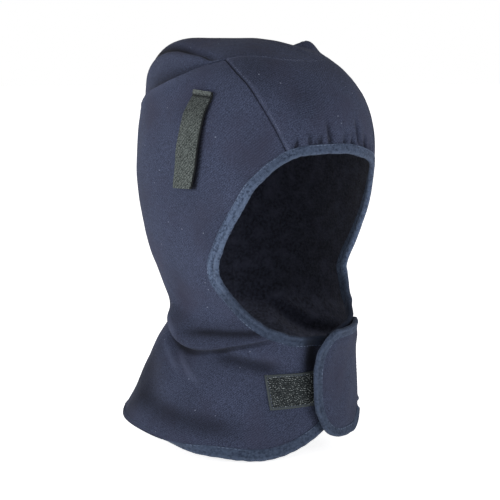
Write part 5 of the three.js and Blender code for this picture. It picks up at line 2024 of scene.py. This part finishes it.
face_stitches = tape_stitches("face_binding_stitches", face_points, face_side, face_out, 11)
hem_stitches = tape_stitches("hem_binding_stitches", hem_points, hem_side, hem_out, 12)
flap_stitches = tape_stitches("flap_binding_stitches", flap_points, flap_side, flap_ways, 13)

# %% Stitches of the seams
TOPSTITCH_GAP = 2.1
FRONT_STITCHES = Values(pitch=2.5, slant=24)
TOP_STITCHES = Values(gap=1.7, pitch=2.5, columns=slice(36, -36))
BACK_STITCHES = Values(pitch=3.0, rows=slice(10, None))


def beside(outer, gap, at):
    """Column of each row of a grid where the length from an edge comes closest to a value."""
    column = np.abs(gap - at).argmin(axis=1)
    return outer[np.arange(len(outer)), column]


seam_lines = []
for gap, column, slant in ((from_right, 0, FRONT_STITCHES.slant), (from_left, -1, -FRONT_STITCHES.slant)):
    line = beside(front_outer, gap, TOPSTITCH_GAP)
    seam_lines.append(stitch_row(line, front_out[:, column], FRONT_STITCHES.pitch, slant))
top_columns = TOP_STITCHES.columns
top_line = beside(front_outer.swapaxes(0, 1), from_top.T, TOP_STITCHES.gap)[top_columns]
seam_lines.append(stitch_row(top_line, front_out[0, top_columns], TOP_STITCHES.pitch))
for gap, column in ((crown_right, 0), (crown_left, -1)):
    line = beside(crown_outer, gap, TOPSTITCH_GAP)[BACK_STITCHES.rows]
    seam_lines.append(stitch_row(line, crown_out[BACK_STITCHES.rows, column], BACK_STITCHES.pitch))
seam_stitches = sewn("seam_stitches", joined(seam_lines), SEAM_STITCH, SEAM_THREAD, 21)

# %% Stitches of the patches, the flap's root and the straps
HOOK_STITCHES = Values(pitch=2.6, inset=2)
ROOT_STITCHES = Values(pitch=2.8, from_row=2, column=-4)
STRAP_STITCH_PITCH = 2.7


def rim(face, out, inset):
    """Closed line a few grid steps inside a patch's edge, with the ways out."""
    index = np.arange(face[..., 0].size).reshape(face.shape[:2])
    ring = edge_ring(index[inset:-inset, inset:-inset])
    return face.reshape(-1, 3)[ring], out.reshape(-1, 3)[ring]


def strap_row(outer, out, fall):
    """Line across a strap's turned end."""
    row = int(np.abs(fall[:, 0] - TURNED_END.stitch_at).argmin())
    return stitch_row(outer[row, 1:-1], out[row, 1:-1], STRAP_STITCH_PITCH)


hook_row = stitch_row(*rim(hook_face, hook_out, HOOK_STITCHES.inset), HOOK_STITCHES.pitch)
hook_stitches = sewn("hook_patch_stitches", hook_row, SEAM_STITCH, SEAM_THREAD, 22)
root = (slice(ROOT_STITCHES.from_row, bound_from), ROOT_STITCHES.column)
root_row = stitch_row(flap_outer[root], flap_out[root], ROOT_STITCHES.pitch)
root_stitches = sewn("flap_root_stitches", root_row, SEAM_STITCH, SEAM_THREAD, 23)
strap_rows = joined([strap_row(*right_strap_grid), strap_row(*left_strap_grid)])
strap_stitches = sewn("hat_strap_stitches", strap_rows, STRAP_STITCH, STRAP_THREAD, 24)

# %% [markdown]
# ## Hand the pieces to the part
#
# Each piece stands for a solid of the part, which is hidden, and rides with the part's root body,
# together with what is sewn to it.

# %% Which piece stands for which solid, and what it was cut to
TAPE_FLAT = 0.024


def tape_cut(stops):
    """Cut of a tape: its unfolded width, its length along the edge, and its area."""
    length = float(stops[-1]) * MM
    return TAPE_FLAT, length, TAPE_FLAT * length


# Each sheet: its solid and slot, the width, length and area of its cut in metres, how it is held, what it
# rests on, and what is sewn to it
SHEETS = [
    (front_panel, "front_panel", "cloth", FRONT_CUT, "gathered", face_binding, [seam_stitches]),
    (crown_panel, "crown_back_panel", "cloth", CROWN_CUT, "stretched", front_panel, []),
    (side_panel_right, "side_panel_right", "cloth", RIGHT_CUT, "hung", crown_panel, []),
    (side_panel_left, "side_panel_left", "cloth", LEFT_CUT, "hung", crown_panel, []),
    (chin_flap, "chin_flap", "cloth", FLAP_CUT, "hung", side_panel_left, [root_stitches]),
    (face_binding, "face_binding", "binding", tape_cut(face_stops), "folded", front_panel, [face_stitches]),
    (hem_binding, "hem_binding", "binding", tape_cut(hem_stops), "folded", side_panel_right, [hem_stitches]),
    (flap_binding, "flap_binding", "binding", tape_cut(flap_stops), "folded", chin_flap, [flap_stitches]),
    (hook_patch, "hook_patch", "hook", HOOK_CUT, "laid", side_panel_right, [hooks, hook_stitches]),
    (loop_patch, "loop_patch", "loop", LOOP_CUT, "laid", chin_flap, [loops]),
    (strap_right, "hat_strap_right", "strap", STRAP_CUT, "hung", side_panel_right, [strap_stitches]),
    (strap_left, "hat_strap_left", "strap", STRAP_CUT, "hung", side_panel_left, []),
]

for sheet, solid, slot, (width, length, area), held, under, extras in SHEETS:
    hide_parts(solid)
    for piece in (sheet, *extras):
        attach(piece, "root")
print(len(SHEETS), "sheets stand for solids")

# %% Size against the solids
visual_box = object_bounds()
for label, box in (("solids", cad_box), ("dressed", visual_box)):
    print(label, [[round(c / MM, 1) for c in corner] for corner in box], "mm")
